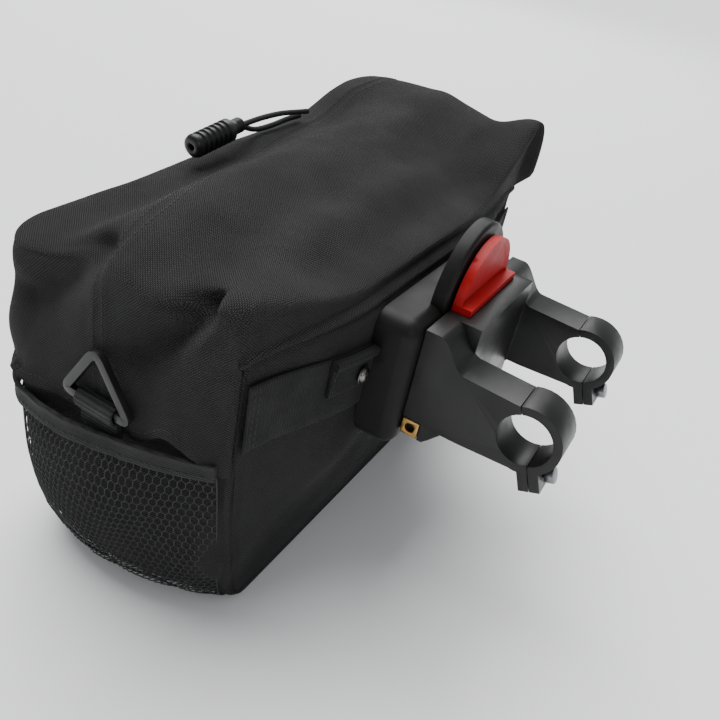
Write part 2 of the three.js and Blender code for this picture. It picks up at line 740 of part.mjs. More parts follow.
const clampY = bracketFront - clampReach;
const clampZ = deckTop - clampDrop + 2;
const slopeFrom = bracketFront - slopeStart;
const slopeTo = bracketFront - slopeEnd;
const armTop = deckTop - armDrop;
const webBottom = deckTop - webDepth;

function circleShape(y, z, radius, segments) {
  return shapeOf(Array.from({ length: segments }, (_, i) => arcPoint(y, z, radius, 360 * i / segments)));
}

// Arm side outline: deck, S-curve down to the arm, clamp, and the web's stepped lower edge.
function armOutline() {
  const points = [[bracketFront, webBottom], [bracketFront, deckTop], [slopeFrom, deckTop]];
  const steps = 8;
  for (let i = 1; i <= steps; i++) {
    const share = i / steps;
    const drop = THREE.MathUtils.smoothstep(share, 0, 1);
    points.push([lerp(slopeFrom, slopeTo, share), lerp(deckTop, armTop, drop)]);
  }
  points.push([clampY + 7, clampZ + clampOuterRadius - 1.6]);
  points.push([clampY, clampZ]);
  points.push([clampY - 2, clampZ - clampOuterRadius + 0.5]);
  const step = bracketFront - deckDepth - 2;
  points.push([step - 6, webBottom + 9], [step + 1, webBottom + 9], [step + 6, webBottom + 3]);
  points.push([step + 9, webBottom]);
  return shapeOf(points);
}

// All that lies on one side of the clamp's parting plane, grown by a gap.
function partingBlock(side, gap = 0) {
  const size = 4 * clampOuterRadius;
  const wide = bracketWidth;
  const [from, to] = side > 0 ? [-gap, size] : [-size, gap];
  const block = box(-wide, wide, from, to, -size, size);
  return solid(block.rotateX(rad(-partingLean)).translate(0, clampY, clampZ));
}

function lugBox(x0, x1, side, gap) {
  const start = -clampOuterRadius - lugLength;
  const from = side > 0 ? gap : -lugThickness;
  const to = side > 0 ? lugThickness : -gap;
  const block = box(x0, x1, from, to, start, -barRadius - 1.2);
  return solid(block.rotateX(rad(-partingLean)).translate(0, clampY, clampZ));
}

function screwPlace(x) {
  const group = new THREE.Matrix4().makeRotationX(rad(-partingLean));
  const place = new THREE.Vector3(0, 0, -clampOuterRadius - lugLength / 2).applyMatrix4(group);
  return [x, clampY + place.y, clampZ + place.z];
}

function screwHole(x, radius) {
  const cylinder = new THREE.CylinderGeometry(radius, radius, 6 * lugThickness, 12);
  return solid(cylinder.rotateX(rad(-partingLean)).translate(...screwPlace(x)));
}

const armCentres = [-(bracketWidth - armWidth) / 2, (bracketWidth - armWidth) / 2];
const nutPlace = [bracketFront - joinGap - nutSide / 2, webBottom + joinGap + nutSide / 2];

function bracket() {
  const half = bracketWidth / 2;
  const deckBack = bracketFront - deckDepth;
  const inside = half - armWidth;
  let body = solid(box(-inside - 1, inside + 1, deckBack, bracketFront, webBottom, deckTop));
  const wellFloor = deckTop - buttonStemHeight - buttonTravel - slideGap;
  const hollow = box(-inside, inside, deckBack + bracketWall, bracketFront - bracketWall,
    webBottom - 1, wellFloor - bracketWall);
  body = body.subtract(solid(hollow));
  for (const x of armCentres) {
    const x0 = x - armWidth / 2;
    const x1 = x + armWidth / 2;
    const lug = lugBox(x0, x1, 1, joinGap / 2);
    const clampRing = solid(prismX(circleShape(clampY, clampZ, clampOuterRadius, 32), x0, x1));
    const arm = solid(prismX(armOutline(), x0, x1)).add(clampRing).subtract(partingBlock(-1)).add(lug);
    const inner0 = x < 0 ? x0 + webWall : x0 + bracketWall;
    const inner1 = x < 0 ? x1 - bracketWall : x1 - webWall;
    const channel = solid(box(inner0, inner1, clampY + clampOuterRadius + bracketWall, slopeFrom,
      webBottom - 1, armTop - bracketWall));
    const root = solid(box(inner0, inner1, slopeFrom - 1, bracketFront - bracketWall,
      webBottom - 1, deckTop - bracketWall));
    const bore = solid(prismX(circleShape(clampY, clampZ, barRadius, 32), x0 - 1, x1 + 1));
    body = body.add(arm).subtract(channel.add(root)).subtract(bore);
    body = body.subtract(screwHole(x, screwRadius + joinGap / 2));
    const pocketX = x < 0 ? [x0 - 1, x0 + nutThickness] : [x1 - nutThickness, x1 + 1];
    body = body.subtract(solid(box(...pocketX, nutPlace[0] - nutSide / 2 - joinGap, bracketFront + 1,
      webBottom - 1, nutPlace[1] + nutSide / 2 + joinGap)));
  }
  const neckEnd = bracketFront + tongueNeck;
  const tongueLow = tongueTop - tongueHeight;
  const neckHalf = tongueNeckWidth / 2;
  const flangeHalf = tongueWidth / 2;
  body = body.add(solid(box(-neckHalf, neckHalf, bracketFront - 1, neckEnd + 1, tongueLow, tongueTop)));
  body = body.add(solid(box(-flangeHalf, flangeHalf, neckEnd, neckEnd + tongueFlange, tongueLow, tongueTop)));
  const wellHalf = buttonRadius + joinGap;
  const well = box(-wellHalf, wellHalf, buttonFront - buttonBaseDepth - joinGap, bracketFront + 1,
    wellFloor, deckTop + 1);
  return geometryOf(body.subtract(solid(well)));
}

function clampCap(x) {
  const x0 = x - armWidth / 2;
  const x1 = x + armWidth / 2;
  const ringPrism = solid(prismX(circleShape(clampY, clampZ, clampOuterRadius, 32), x0, x1));
  const bore = solid(prismX(circleShape(clampY, clampZ, barRadius, 32), x0 - 1, x1 + 1));
  return geometryOf(ringPrism.subtract(partingBlock(1, joinGap)).add(lugBox(x0, x1, -1, joinGap / 2))
    .subtract(bore).subtract(screwHole(x, screwRadius + joinGap / 2)));
}

function clampScrew() {
  const shaft = 2 * lugThickness + 1;
  const end = screwHeadHeight + shaft;
  const profile = [[0, 0], [screwHeadRadius, 0], [screwHeadRadius, screwHeadHeight]];
  profile.push([screwRadius, screwHeadHeight], [screwRadius, end], [0, end]);
  const lathe = new THREE.LatheGeometry(profile.map(([r, h]) => new THREE.Vector2(r, h)), 12);
  return lathe.translate(0, -lugThickness - screwHeadHeight - joinGap, 0).rotateX(rad(-partingLean));
}

function squareNut() {
  const outline = shapeOf([[-1, -1], [1, -1], [1, 1], [-1, 1]].map((p) => p.map((v) => v * nutSide / 2)));
  const holePoints = Array.from({ length: 12 }, (_, i) => arcPoint(0, 0, nutHoleRadius, 30 * i));
  outline.holes.push(new THREE.Path(holePoints.map(([u, v]) => new THREE.Vector2(u, v))));
  return prismX(outline, -nutThickness / 2, nutThickness / 2);
}

// Release button: a half-round tab with a raised rim, a base flange and a stem in the well.
const buttonFront = bracketFront - joinGap;

function releaseButton() {
  const tab = new THREE.Shape();
  tab.absarc(0, deckTop, buttonRadius, 0, Math.PI);
  const dish = new THREE.Shape();
  dish.absarc(0, deckTop + buttonBaseHeight, buttonRadius - buttonRim, rad(4), rad(176));
  const y1 = buttonFront;
  const y0 = y1 - buttonThickness;
  let body = solid(prismY(tab, y0, y1)).subtract(solid(prismY(dish, y0 - 1, y0 + buttonDish)));
  const flangeTop = deckTop + buttonBaseHeight;
  const flange = box(-buttonRadius, buttonRadius, y1 - buttonBaseDepth, y1, deckTop, flangeTop);
  body = body.add(solid(flange));
  const stemHalf = buttonStemWidth / 2;
  const stem = box(-stemHalf, stemHalf, y1 - buttonStemDepth, y1 - 1, deckTop - buttonStemHeight, deckTop);
  return geometryOf(body.add(solid(stem)));
}

// Cord lock: a ribbed barrel lying along X with a sprung plunger in its right end.
function lockBody() {
  const profile = [[0, 0], [lockRadius * 0.7, 0], [lockRadius, 2.5]];
  const pitch = (lockLength - 7) / lockRibs;
  for (let i = 0; i < lockRibs; i++) {
    const at = 3.5 + i * pitch;
    profile.push([lockRadius, at], [lockRadius - 0.9, at + 0.35 * pitch], [lockRadius, at + 0.7 * pitch]);
  }
  profile.push([lockRadius, lockLength], [plungerRadius + joinGap, lockLength]);
  profile.push([plungerRadius + joinGap, lockLength - plungerLength], [0, lockLength - plungerLength]);
  const lathe = new THREE.LatheGeometry(profile.map(([r, h]) => new THREE.Vector2(r, h)), 10);
  return lathe.rotateZ(-Math.PI / 2).translate(-lockLength / 2, 0, 0);
}

function lockPlunger() {
  const end = plungerLength * 1.55;
  const r = plungerRadius;
  const profile = [[0, 0], [r, 0], [r, end - 1.5], [r - 1.5, end], [0, end]];
  const lathe = new THREE.LatheGeometry(profile.map(([a, h]) => new THREE.Vector2(a, h)), 12);
  return lathe.rotateZ(-Math.PI / 2).translate(lockLength / 2 - plungerLength + 4.6, 0, 0);
}

function drawcord(points) {
  const curve = new THREE.CatmullRomCurve3(points.map((p) => new THREE.Vector3(...p)));
  const outline = Array.from({ length: 8 }, (_, i) => arcPoint(0, 0, cordRadius, 45 * i));
  return new THREE.ExtrudeGeometry(shapeOf(outline), { steps: 10, extrudePath: curve, bevelEnabled: false });
}

const cloth = { color: 0x2b2c2d, roughness: 0.9, metalness: 0 };
const webbing = { color: 0x242526, roughness: 0.85, metalness: 0 };
const plastic = { color: 0x2d2f2f, roughness: 0.55, metalness: 0 };
const red = { color: 0xc01a22, roughness: 0.45, metalness: 0 };
const brass = { color: 0xa8843c, roughness: 0.35, metalness: 1 };
const nickel = { color: 0xb9b6ae, roughness: 0.3, metalness: 1 };
const steel = { color: 0x9a9c9e, roughness: 0.35, metalness: 1 };

function piece(name, geometry, look, place = [0, 0, 0]) {
  const mesh = new THREE.Mesh(geometry, new THREE.MeshStandardMaterial(look));
  mesh.name = name;
  mesh.position.set(...place);
  return mesh;
}

const bag = new THREE.Group();
bag.add(piece('bag_body', bagBody(), cloth));
bag.add(piece('lid', lid(), cloth));
bag.add(piece('housing', housing(), plastic));
bag.add(piece('bracket', bracket(), plastic));
bag.add(piece('release_button', releaseButton(), red));

for (const [label, side] of [['left', -1], ['right', 1]]) {
  const armX = side * (bracketWidth - armWidth) / 2;
  bag.add(piece(`mesh_pocket_${label}`, netPocket(side), webbing));
  bag.add(piece(`pocket_binding_${label}`, pocketBinding(side), webbing));
  bag.add(piece(`webbing_tab_${label}`, webbingTab(side), webbing));
  bag.add(piece(`ring_${label}`, ring(side), plastic));
  bag.add(piece(`back_strap_${label}`, backStrap(side), webbing));
  bag.add(piece(`strap_end_${label}`, strapEnd(side), webbing));
  bag.add(piece(`rivet_${label}`, rivet(), nickel, rivetPlace(side)));
  bag.add(piece(`clamp_cap_${label}`, clampCap(armX), plastic));
  bag.add(piece(`clamp_screw_${label}`, clampScrew(), steel, screwPlace(armX)));
  const nutX = side * (bracketWidth / 2 - nutThickness / 2 + joinGap);
  bag.add(piece(`square_nut_${label}`, squareNut(), brass, [nutX, ...nutPlace]));
}

const lock = new THREE.Group();
lock.position.set(...lockCentre);
lock.rotation.y = rad(-lockTurn);
lock.add(piece('cord_lock_body', lockBody(), plastic));
lock.add(piece('cord_lock_plunger', lockPlunger(), plastic));
bag.add(lock);
bag.add(piece('drawcord_upper', drawcord(cordUpper), webbing));
bag.add(piece('drawcord_lower', drawcord(cordLower), webbing));

// The origin is the bottom centre of the whole part's box.
const extent = new THREE.Box3().setFromObject(bag);
const centre = extent.getCenter(new THREE.Vector3());
bag.position.set(-centre.x, -centre.y, -extent.min.z);

export default bag;
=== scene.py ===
"""Soft handlebar bag with net end pockets, on its quick-release bracket. Sizes are in metres."""
import math
from collections import namedtuple

import bpy
import numpy as np
from mathutils import Matrix, Vector, noise
from mathutils.bvhtree import BVHTree


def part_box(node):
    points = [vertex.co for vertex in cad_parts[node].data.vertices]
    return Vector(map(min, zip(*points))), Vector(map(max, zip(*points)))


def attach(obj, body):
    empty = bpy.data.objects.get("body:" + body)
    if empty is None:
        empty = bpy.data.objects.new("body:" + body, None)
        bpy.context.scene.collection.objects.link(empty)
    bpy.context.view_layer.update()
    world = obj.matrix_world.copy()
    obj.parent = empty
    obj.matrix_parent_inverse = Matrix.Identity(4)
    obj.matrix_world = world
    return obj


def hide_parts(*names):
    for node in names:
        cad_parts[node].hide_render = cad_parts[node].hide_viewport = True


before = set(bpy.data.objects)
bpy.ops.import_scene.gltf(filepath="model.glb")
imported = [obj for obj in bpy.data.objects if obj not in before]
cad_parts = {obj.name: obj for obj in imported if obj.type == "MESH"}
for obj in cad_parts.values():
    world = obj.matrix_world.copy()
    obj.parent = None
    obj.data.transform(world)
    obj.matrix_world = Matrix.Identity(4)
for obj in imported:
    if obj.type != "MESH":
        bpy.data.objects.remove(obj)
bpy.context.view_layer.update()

bl_info = {
    "name": "Handlebar Bag",
    "version": (1, 0, 0),
    "blender": (4, 5, 0),
    "location": "3D View > Sidebar > Bag",
    "description": "Dresses a soft handlebar bag and its quick-release bracket",
    "category": "Add Mesh",
}

# Cloth bag
BAG_WIDTH = 0.277
BAG_DEPTH = 0.127
SEAM_HEIGHT = 0.155
FRONT_CORNER = 0.036
SEAM_CORNER = 0.004
END_BULGE = 0.011
PANEL_BOW = 0.012
CLOTH_GAP = 0.0005
PANEL_TOP = SEAM_HEIGHT - CLOTH_GAP

# Lid
LID_RISE = 0.042
LID_WALL = 0.0024
LID_OUT = CLOTH_GAP + LID_WALL
END_SKIRT = 0.060
FRONT_SKIRT = 0.012
SLOPE_INSET = 0.030
SLOPE_WIDTH = 0.028
SKIRT_OVERLAP = 0.006
FOLD_SIZE = 0.012
EAR_SIZE = 0.026
EDGE_FULLNESS = 10
EDGE_ROUNDNESS = 0.2
LID_CLOTH = 0.0018
HEM_RISE = 0.0115
HEM_FLARE = 0.0035
HEM_STITCHES_UP = 0.0045
SEWN_OUT = 0.0007
SEAM_HALF = 0.0042
SEAM_ROW = 0.0026

# Places round the outline where the skirt's two upright edges are sewn in
SKIRT_FROM = 1.5
SKIRT_TO = 7.5
FRONT_MIDDLE = 4.5

# Net pockets
POCKET_BULGE = 0.012
POCKET_DROP = 0.066
POCKET_FLOOR = 0.0035
POCKET_FOOT = 0.010
NET_GAP = 0.0005
BINDING_HEIGHT = 0.010
BINDING_WALL = 0.002
BINDING_LEVELS = (0.0, 0.04, 0.14, 0.3, 0.5, 0.7, 0.86, 0.95, 0.99, 1.0)
BINDING_PROFILE = (0.1, 0.45, 0.55, 0.5, 0.5, 0.55, 0.8, 0.9, 0.7, 0.35)
POCKET_FROM = 0.012
POCKET_TO = 0.985
END_SHARE = 0.72
NET_LENGTH = 0.142
NET_HEIGHT = 0.084
NET_SAG = 0.0015
NET_RIPPLE = 0.0074
NET_SLACK = 0.0004
NET_SNUG = 0.0009

# How far the stuffed cloth swells past its plain outline, and the heights where that grows or fades
BODY_CLOTH = 0.0022
CORNER_FILL = 0.0055
REAR_FILL = 0.003
POCKET_FILL = 0.96
OVER_SKIRT = 0.0031
FILL_GROWS = (0.002, 0.016)
MOUTH_FADES = (0.078, 0.091)
SKIRT_FADES = (0.092, 0.13)
FRONT_FADES_LATER = 0.012
UNDER_HEM_FADES = (0.094, 0.1)
CORNER_GROWS = (0.05, 0.095)
CORNER_THINS = (0.108, 0.14)
CORNER_FADES = (0.14, 0.172)

# Webbing and its ring
STRAP_HEIGHT = 0.034
STRAP_CLOTH = 0.0011
STRAP_DROP = 0.013
STRAP_SLOPE = 0.009
STRAP_END = 0.030
STRAP_END_HEIGHT = 0.020
STRAP_END_LAYER = 0.0022
STRAP_END_CLOTH = 0.0012
STRAP_END_FOLD = 0.0022
WEBBING_WIDTH = 0.021
WEBBING_TAIL = 0.013
WEBBING_LAYER = 0.0016
RING_WIDTH = 0.035
RING_HEIGHT = 0.028
RING_BAR = 0.004
RING_PIN = 0.0016
RING_WALL = 0.003
RING_PLAY = 0.00035
RING_ROUNDING = 0.0085
STITCH_SHARE = 0.74
STITCH_HALF_WIDTH = 0.00032

# Places that follow from the frame
HOUSING_LOW, HOUSING_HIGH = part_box("housing")
BUTTON_LOW, BUTTON_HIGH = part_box("release_button")
PANEL_Y = HOUSING_HIGH.y + PANEL_BOW + CLOTH_GAP
MIDDLE_Y = PANEL_Y + BAG_DEPTH / 2
HOUSING_HALF = (HOUSING_HIGH.x - HOUSING_LOW.x) / 2
HOUSING_TOP = SEAM_HEIGHT - 0.006
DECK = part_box("bracket")[1].z
DOME_RADIUS = 0.034
DOME_WALL = 0.0075
PLATE_CORNER = 0.0085
PLATE_EDGE = 0.008
SLOT_NECK = 0.0175
SLOT_FLANGE = 0.0235

# Release button
TAB_WALL = 0.0045
TAB_RIM = 0.003
TAB_DISH = 0.0011
TAB_FLANGE = 0.0035
STEM_HALF = 0.010

# The bag's plan at shares of its height, as shares of the sizes with those names
Section = namedtuple("Section", "height half bulge front back corner bow")
SECTIONS = [
    Section(0, 0.81, 0.65, 0.78, 0.012, 0.9, 0),
    Section(0.02, 0.87, 0.8, 0.86, 0.004, 0.95, 0),
    Section(0.065, 0.91, 0.95, 0.93, 0, 1, 0.1),
    Section(0.18, 0.935, 1, 0.985, 0, 1, 0.35),
    Section(0.37, 0.95, 1, 1.01, 0, 0.95, 0.75),
    Section(0.5, 0.96, 0.9, 1.015, 0, 0.85, 1),
    Section(0.65, 0.975, 0.75, 1.015, 0, 0.75, 1),
    Section(0.82, 0.99, 0.5, 1.01, 0, 0.7, 1),
    Section(0.965, 0.998, 0.3, 0.99, 0, 0.68, 1),
    Section(1, 1, 0.25, 0.98, 0, 0.66, 0.6),
]

# The lid's rise over its seam, from the rider's left to the right and from the back to the front
Crown = namedtuple("Crown", "across ear quarter middle front")
CROWN = [
    Crown(-1, 0.68, 0.36, 0.46, 0.1),
    Crown(-0.8, 0.42, 0.42, 0.56, 0.16),
    Crown(-0.45, 0.18, 0.44, 0.6, 0.27),
    Crown(0, 0.16, 0.46, 0.64, 0.38),
    Crown(0.45, 0.2, 0.5, 0.7, 0.5),
    Crown(0.8, 0.66, 0.66, 0.9, 0.84),
    Crown(1, 1, 0.78, 0.98, 1),
]
CROWN_STOPS = (0.04, 0.28, 0.55, 0.86)

Ear = namedtuple("Ear", "side forward out back")
EARS = [Ear(-1, 0, 0, 0.06), Ear(1, 0, 0.24, 0.42), Ear(1, 0.75, 0.3, 0)]

# Pull folds on the lid's ends: valleys have a positive depth and ridges a negative one
Fold = namedtuple("Fold", "side forward rise forward_to rise_to width depth crisp")
FOLDS = [
    Fold(-1, 0.88, -0.6, 0.6, 0.3, 0.8, 1.0, 2),
    Fold(-1, 0.9, -0.1, 0.64, 0.72, 0.5, -0.12, 2),
    Fold(-1, 0.38, -0.5, 0.16, 0.3, 0.58, 1.35, 1.8),
    Fold(-1, 0.26, -0.75, 0.08, 0.4, 0.28, -0.6, 1.4),
    Fold(-1, 0.66, -0.7, 0.52, 0.1, 0.4, -0.16, 1.8),
    Fold(-1, 0.12, -0.5, 0.02, 0.1, 0.25, 0.2, 1.5),
    Fold(-1, 0.2, -1.2, 0.08, -0.6, 0.5, 0.18, 1.8),
    Fold(1, 0.8, -0.8, 0.5, 0.5, 0.8, 0.6, 2),
    Fold(1, 0.4, -0.5, 0.22, 0.6, 0.7, 0.6, 1.8),
    Fold(1, 0.28, -0.8, 0.12, 0.4, 0.34, -0.26, 1.5),
]

# Soft dents and ridges of the lid's top, as shares of the half width and the depth
Crease = namedtuple("Crease", "across forward across_to forward_to width depth")
CREASES = [
    Crease(0.28, 0.62, 0.5, 0.5, 0.012, 0.0020),
    Crease(-0.9, 0.16, -0.55, 0.42, 0.010, 0.0018),
    Crease(-0.75, 0.08, -0.3, 0.24, 0.008, -0.0012),
    Crease(-0.85, 0.62, -0.55, 0.9, 0.012, 0.0022),
    Crease(0.55, 0.2, 0.9, 0.12, 0.010, 0.0026),
    Crease(0.6, 0.86, 0.92, 0.6, 0.012, 0.0020),
    Crease(-0.2, 0.9, 0.25, 0.72, 0.009, 0.0012),
]

Mouth = namedtuple("Mouth", "forward drop")
POCKET_MOUTH = [Mouth(0, 0.8), Mouth(0.3, 0.88), Mouth(0.65, 0.985), Mouth(0.85, 1), Mouth(1, 0.97)]

# The lid's double seam: up an end from the ring, then across the top to the far front corner
Spot = namedtuple("Spot", "across forward")
END_SEAM_FORWARD = 0.52
TOP_SEAM = [
    Spot(-0.94, 0.53), Spot(-0.83, 0.55), Spot(-0.75, 0.57), Spot(-0.5, 0.655), Spot(-0.26, 0.725),
    Spot(0.145, 0.81), Spot(0.45, 0.84), Spot(0.72, 0.85), Spot(0.9, 0.8),
]

# Where the far end stands a little prouder than its solid
Lift = namedtuple("Lift", "across forward width rise")
LIFTS = [Lift(1, 0.62, 0.040, 0.0045), Lift(1.0, 0.2, 0.034, 0.0085), Lift(1.03, -0.03, 0.017, 0.0045)]

# Drawcord strands, point by point from the lock to the lid's hem
CORD_RADIUS = 0.0015
CORD_UPPER = [
    (-0.0027, 0.113, 0.1822), (0.004, 0.1132, 0.1826), (0.017, 0.1135, 0.183), (0.034, 0.114, 0.1824),
    (0.048, 0.1134, 0.1812), (0.058, 0.1115, 0.1808),
]
CORD_LOWER = [
    (-0.0024, 0.1163, 0.1808), (0.0016, 0.1166, 0.1806), (0.008, 0.1172, 0.1776), (0.018, 0.1175, 0.175),
    (0.032, 0.1175, 0.175), (0.046, 0.117, 0.1764), (0.056, 0.1152, 0.1775),
]
LOCK_CENTRE = (-0.027, 0.113, 0.1796)
LOCK_TURN = math.radians(8)
LOCK_LENGTH = 0.029
LOCK_RADIUS = 0.006
LOCK_RIBS = 6
RIB_PROFILE = ((0.05, 0), (0.14, 0.0007), (0.3, 0.0011), (0.5, 0.0011), (0.66, 0.0007), (0.75, 0))
PLUNGER_RADIUS = 0.004
PLUNGER_DEPTH = 0.009

# The photograph's camera, fitted to the bag's edges
CAMERA_PLACE = (-0.323, -0.1389, 0.313)
CAMERA_RIGHT = (0.507, -0.8423, 0.1827)
CAMERA_UP = (0.4056, 0.4203, 0.8116)
CAMERA_LENS = 37.5
CAMERA_SENSOR = 36

# Soft light of the stage
SKY_COLOUR = (0.94, 0.97, 1.0, 1)
SKY_LIGHT = 0.42
SKY_SEEN = 1.45
SUN_POWER = 4.6
SUN_SPREAD = math.radians(55)
SUN_WAY = (-0.28, -0.42, -1)
Lamp = namedtuple("Lamp", "place size power")
LAMPS = [Lamp((1.7, 0.9, 1.25), 1.3, 14), Lamp((-1.0, -0.9, 0.9), 0.7, 3)]
LAMP_AIM = (0, 0, 0.1)


class BagProperties(bpy.types.PropertyGroup):
    """Sizes and colours that a user may change."""

    # The weave shows this colour on the yarn tops, lifted high enough to carry a painted highlight; the gaps
    # fall to painted shade.
    cloth_colour: bpy.props.FloatVectorProperty(
        name="Cloth", description="Colour of the bag's yarn", subtype="COLOR",
        size=4, default=(0.058, 0.058, 0.056, 1), min=0, max=1)
    webbing_colour: bpy.props.FloatVectorProperty(
        name="Webbing", description="Colour of straps and tabs", subtype="COLOR",
        size=4, default=(0.0165, 0.0168, 0.0165, 1), min=0, max=1)
    plastic_colour: bpy.props.FloatVectorProperty(
        name="Plastic", description="Colour of the moulded plastic", subtype="COLOR",
        size=4, default=(0.0075, 0.0077, 0.0072, 1), min=0, max=1)
    button_colour: bpy.props.FloatVectorProperty(
        name="Button", description="Colour of the release button", subtype="COLOR",
        size=4, default=(0.36, 0.005, 0.008, 1), min=0, max=1)
    yarn: bpy.props.FloatProperty(
        name="Yarn", description="Width of one yarn of the cloth", unit="LENGTH", default=0.00062)
    net_cell: bpy.props.FloatProperty(
        name="Net cell", description="Distance between the net's holes", unit="LENGTH", default=0.0035)
    net_thread: bpy.props.FloatProperty(
        name="Net thread", description="Thickness of the net's threads", unit="LENGTH", default=0.00062)
    rumple: bpy.props.FloatProperty(
        name="Rumple", description="Height of the cloth's soft waves", unit="LENGTH", default=0.0011)
    edge: bpy.props.FloatProperty(
        name="Edge", description="Rounding of moulded edges", unit="LENGTH", default=0.0007)
    stitch: bpy.props.FloatProperty(
        name="Stitch", description="Distance between stitches", unit="LENGTH", default=0.0034)


def eased(start, end, value):
    """Rises softly from 0 at the start to 1 at the end."""
    share = np.clip((value - start) / (end - start), 0, 1)
    return share * share * (3 - 2 * share)


def smooth(table, column, at):
    """Reads a column at values of the table's first column, along a curve that doesn't overshoot."""
    keys = np.array([row[0] for row in table], float)
    values = np.array([getattr(row, column) for row in table], float)
    step = np.diff(keys)
    rise = np.diff(values) / step
    slope = np.concatenate([rise[:1], np.zeros(len(rise) - 1), rise[-1:]])
    product = rise[1:] * rise[:-1]
    total = rise[1:] + rise[:-1]
    slope[1:-1] = np.where(product > 0, 2 * product / np.where(product > 0, total, 1), 0)
    at = np.clip(at, keys[0], keys[-1])
    i = np.clip(np.searchsorted(keys, at, side="right") - 1, 0, len(step) - 1)
    t = (at - keys[i]) / step[i]
    low = values[i] * (1 + 2 * t) * (1 - t) ** 2 + slope[i] * step[i] * t * (1 - t) ** 2
    high = values[i + 1] * t * t * (3 - 2 * t) + slope[i + 1] * step[i] * t * t * (t - 1)
    return low + high


def outline(place, height, out=0.0, back_out=None):
    """Points of the bag's plan outline.

    Places 0 to 1 run along the back panel to the rider's right, 1 to 2 round the back corner, 2 to 3 along
    the right end, 3 to 4 round the front corner, 4 to 5 along the front, and back round the left end to 8.
    """
    place, height = np.broadcast_arrays(np.asarray(place, float) % 8, np.asarray(height, float))
    share = height / SEAM_HEIGHT
    half = smooth(SECTIONS, "half", share) * BAG_WIDTH / 2 + out
    front = smooth(SECTIONS, "front", share) * BAG_DEPTH + out
    back = smooth(SECTIONS, "back", share) * BAG_DEPTH - (out if back_out is None else back_out)
    corner = smooth(SECTIONS, "corner", share) * FRONT_CORNER
    mirrored = (place > FRONT_MIDDLE) | (place < 0.5)
    right = np.where(place < 0.5, 1 - place, on_right(place))
    side = np.clip(np.floor(right), 0, 4)
    t = right - side
    turn = np.radians(90 * t)
    stretches = [side == 0, side == 1, side == 2, side == 3]
    x = np.select(stretches, [
        (half - SEAM_CORNER) * (2 * t - 1),
        half - SEAM_CORNER + SEAM_CORNER * np.sin(turn),
        half + 0 * t,
        half - corner + corner * np.cos(turn),
    ], (half - corner) * (1 - 2 * t))
    y = np.select(stretches, [
        back + 0 * t,
        back + SEAM_CORNER - SEAM_CORNER * np.cos(turn),
        back + SEAM_CORNER + (front - corner - back - SEAM_CORNER) * t,
        front - corner + corner * np.sin(turn),
    ], front + 0 * t)
    along = 2 * (y - back) / (front - back) - 1
    sideways = smooth(SECTIONS, "bulge", share) * END_BULGE * (1 - along ** 2) * (np.abs(x) / half) ** 6
    flat = 1 - eased(HOUSING_HALF + 0.002, half, np.abs(x))
    rear = np.clip(1 - (y - back) / (front - back), 0, 1) ** 6
    y = y - smooth(SECTIONS, "bow", share) * PANEL_BOW * flat * rear
    x = (x + sideways) * np.where(mirrored, -1, 1)
    return np.stack([x, y + PANEL_Y, height + 0 * x], -1)


def crown_height(x, y):
    """Rise of the lid over its seam."""
    across = x / (BAG_WIDTH / 2)
    columns = [smooth(CROWN, name, across) for name in ("ear", "quarter", "middle", "front")]
    forward = (y - PANEL_Y) / BAG_DEPTH
    rise = columns[0]
    for i in range(3):
        t = np.clip((forward - CROWN_STOPS[i]) / (CROWN_STOPS[i + 1] - CROWN_STOPS[i]), 0, 1)
        rise = rise + (columns[i + 1] - columns[i]) * t ** 3 * (t * (6 * t - 15) + 10)
    return LID_RISE * rise


def on_right(place):
    """The same place on the rider's right, for places 0.5 to 8."""
    return np.where(place > FRONT_MIDDLE, 2 * FRONT_MIDDLE - place, place)


def pocket_bow(along, up):
    """How full a pocket is at a share of its length and of its height."""
    return np.sin(np.pi * along) ** 0.7 * np.sin(np.pi * (0.27 + 0.57 * up))


def fullness(place, height):
    """How far the stuffed cloth swells past its plain outline, in the pockets and at the corners."""
    place, height = np.broadcast_arrays(np.asarray(place, float) % 8, np.asarray(height, float))
    right = on_right(place)
    inside = np.where(right < 3, (right - 2) * END_SHARE, END_SHARE + (right - 3) * (1 - END_SHARE))
    inside = np.clip(inside, 0, 1)
    up = np.clip((height - POCKET_FOOT) / (mouth_height(inside) - BINDING_HEIGHT - POCKET_FOOT), 0, 1)
    pocket = POCKET_FILL * POCKET_BULGE * pocket_bow(inside, up) * eased(*FILL_GROWS, height)
    pocket = pocket * (1 - eased(*MOUTH_FADES, height) * (1 - eased(0.58, 0.72, inside)))
    later = FRONT_FADES_LATER * eased(0.7, 0.86, inside)
    pocket = pocket * (1 - eased(SKIRT_FADES[0] + later, SKIRT_FADES[1], height))
    under_hem = up ** 2 * eased(0.5, 0.75, inside) * (1 - eased(*UNDER_HEM_FADES, height))
    pocket = pocket + OVER_SKIRT * under_hem
    wide = 0.42 + 0.2 * (1 - eased(0.09, 0.12, height))
    corner = CORNER_FILL * np.exp(-((right - 3.5) / wide) ** 2) * eased(*CORNER_GROWS, height)
    corner = corner * (1 - 0.55 * eased(*CORNER_THINS, height)) * (1 - eased(*CORNER_FADES, height))
    return np.maximum(pocket, corner) * (right > 1.9) * (right < 4.5)


def swollen(place, height, out=0.0, back_out=None):
    """The outline with its fullness, and with the rear corners pushed sideways."""
    back_out = out if back_out is None else back_out
    points = outline(place, height, out + fullness(place, height), back_out)
    place = np.broadcast_to(np.asarray(place, float) % 8, points.shape[:-1])
    rear = np.exp(-((on_right(place) - 1.6) / 0.6) ** 2)
    rear = rear * np.sin(np.pi * np.clip((points[..., 2] - 0.01) / 0.135, 0, 1))
    points[..., 0] += np.sign(points[..., 0]) * REAR_FILL * rear
    return points


def line_distance(points, start, end):
    """Distance of points from a line, and the share of the line where each is nearest."""
    line = np.subtract(end, start)
    t = np.clip(((points - start) @ line) / (line @ line), 0, 1)
    return np.linalg.norm(points - (start + t[..., None] * line), axis=-1), t


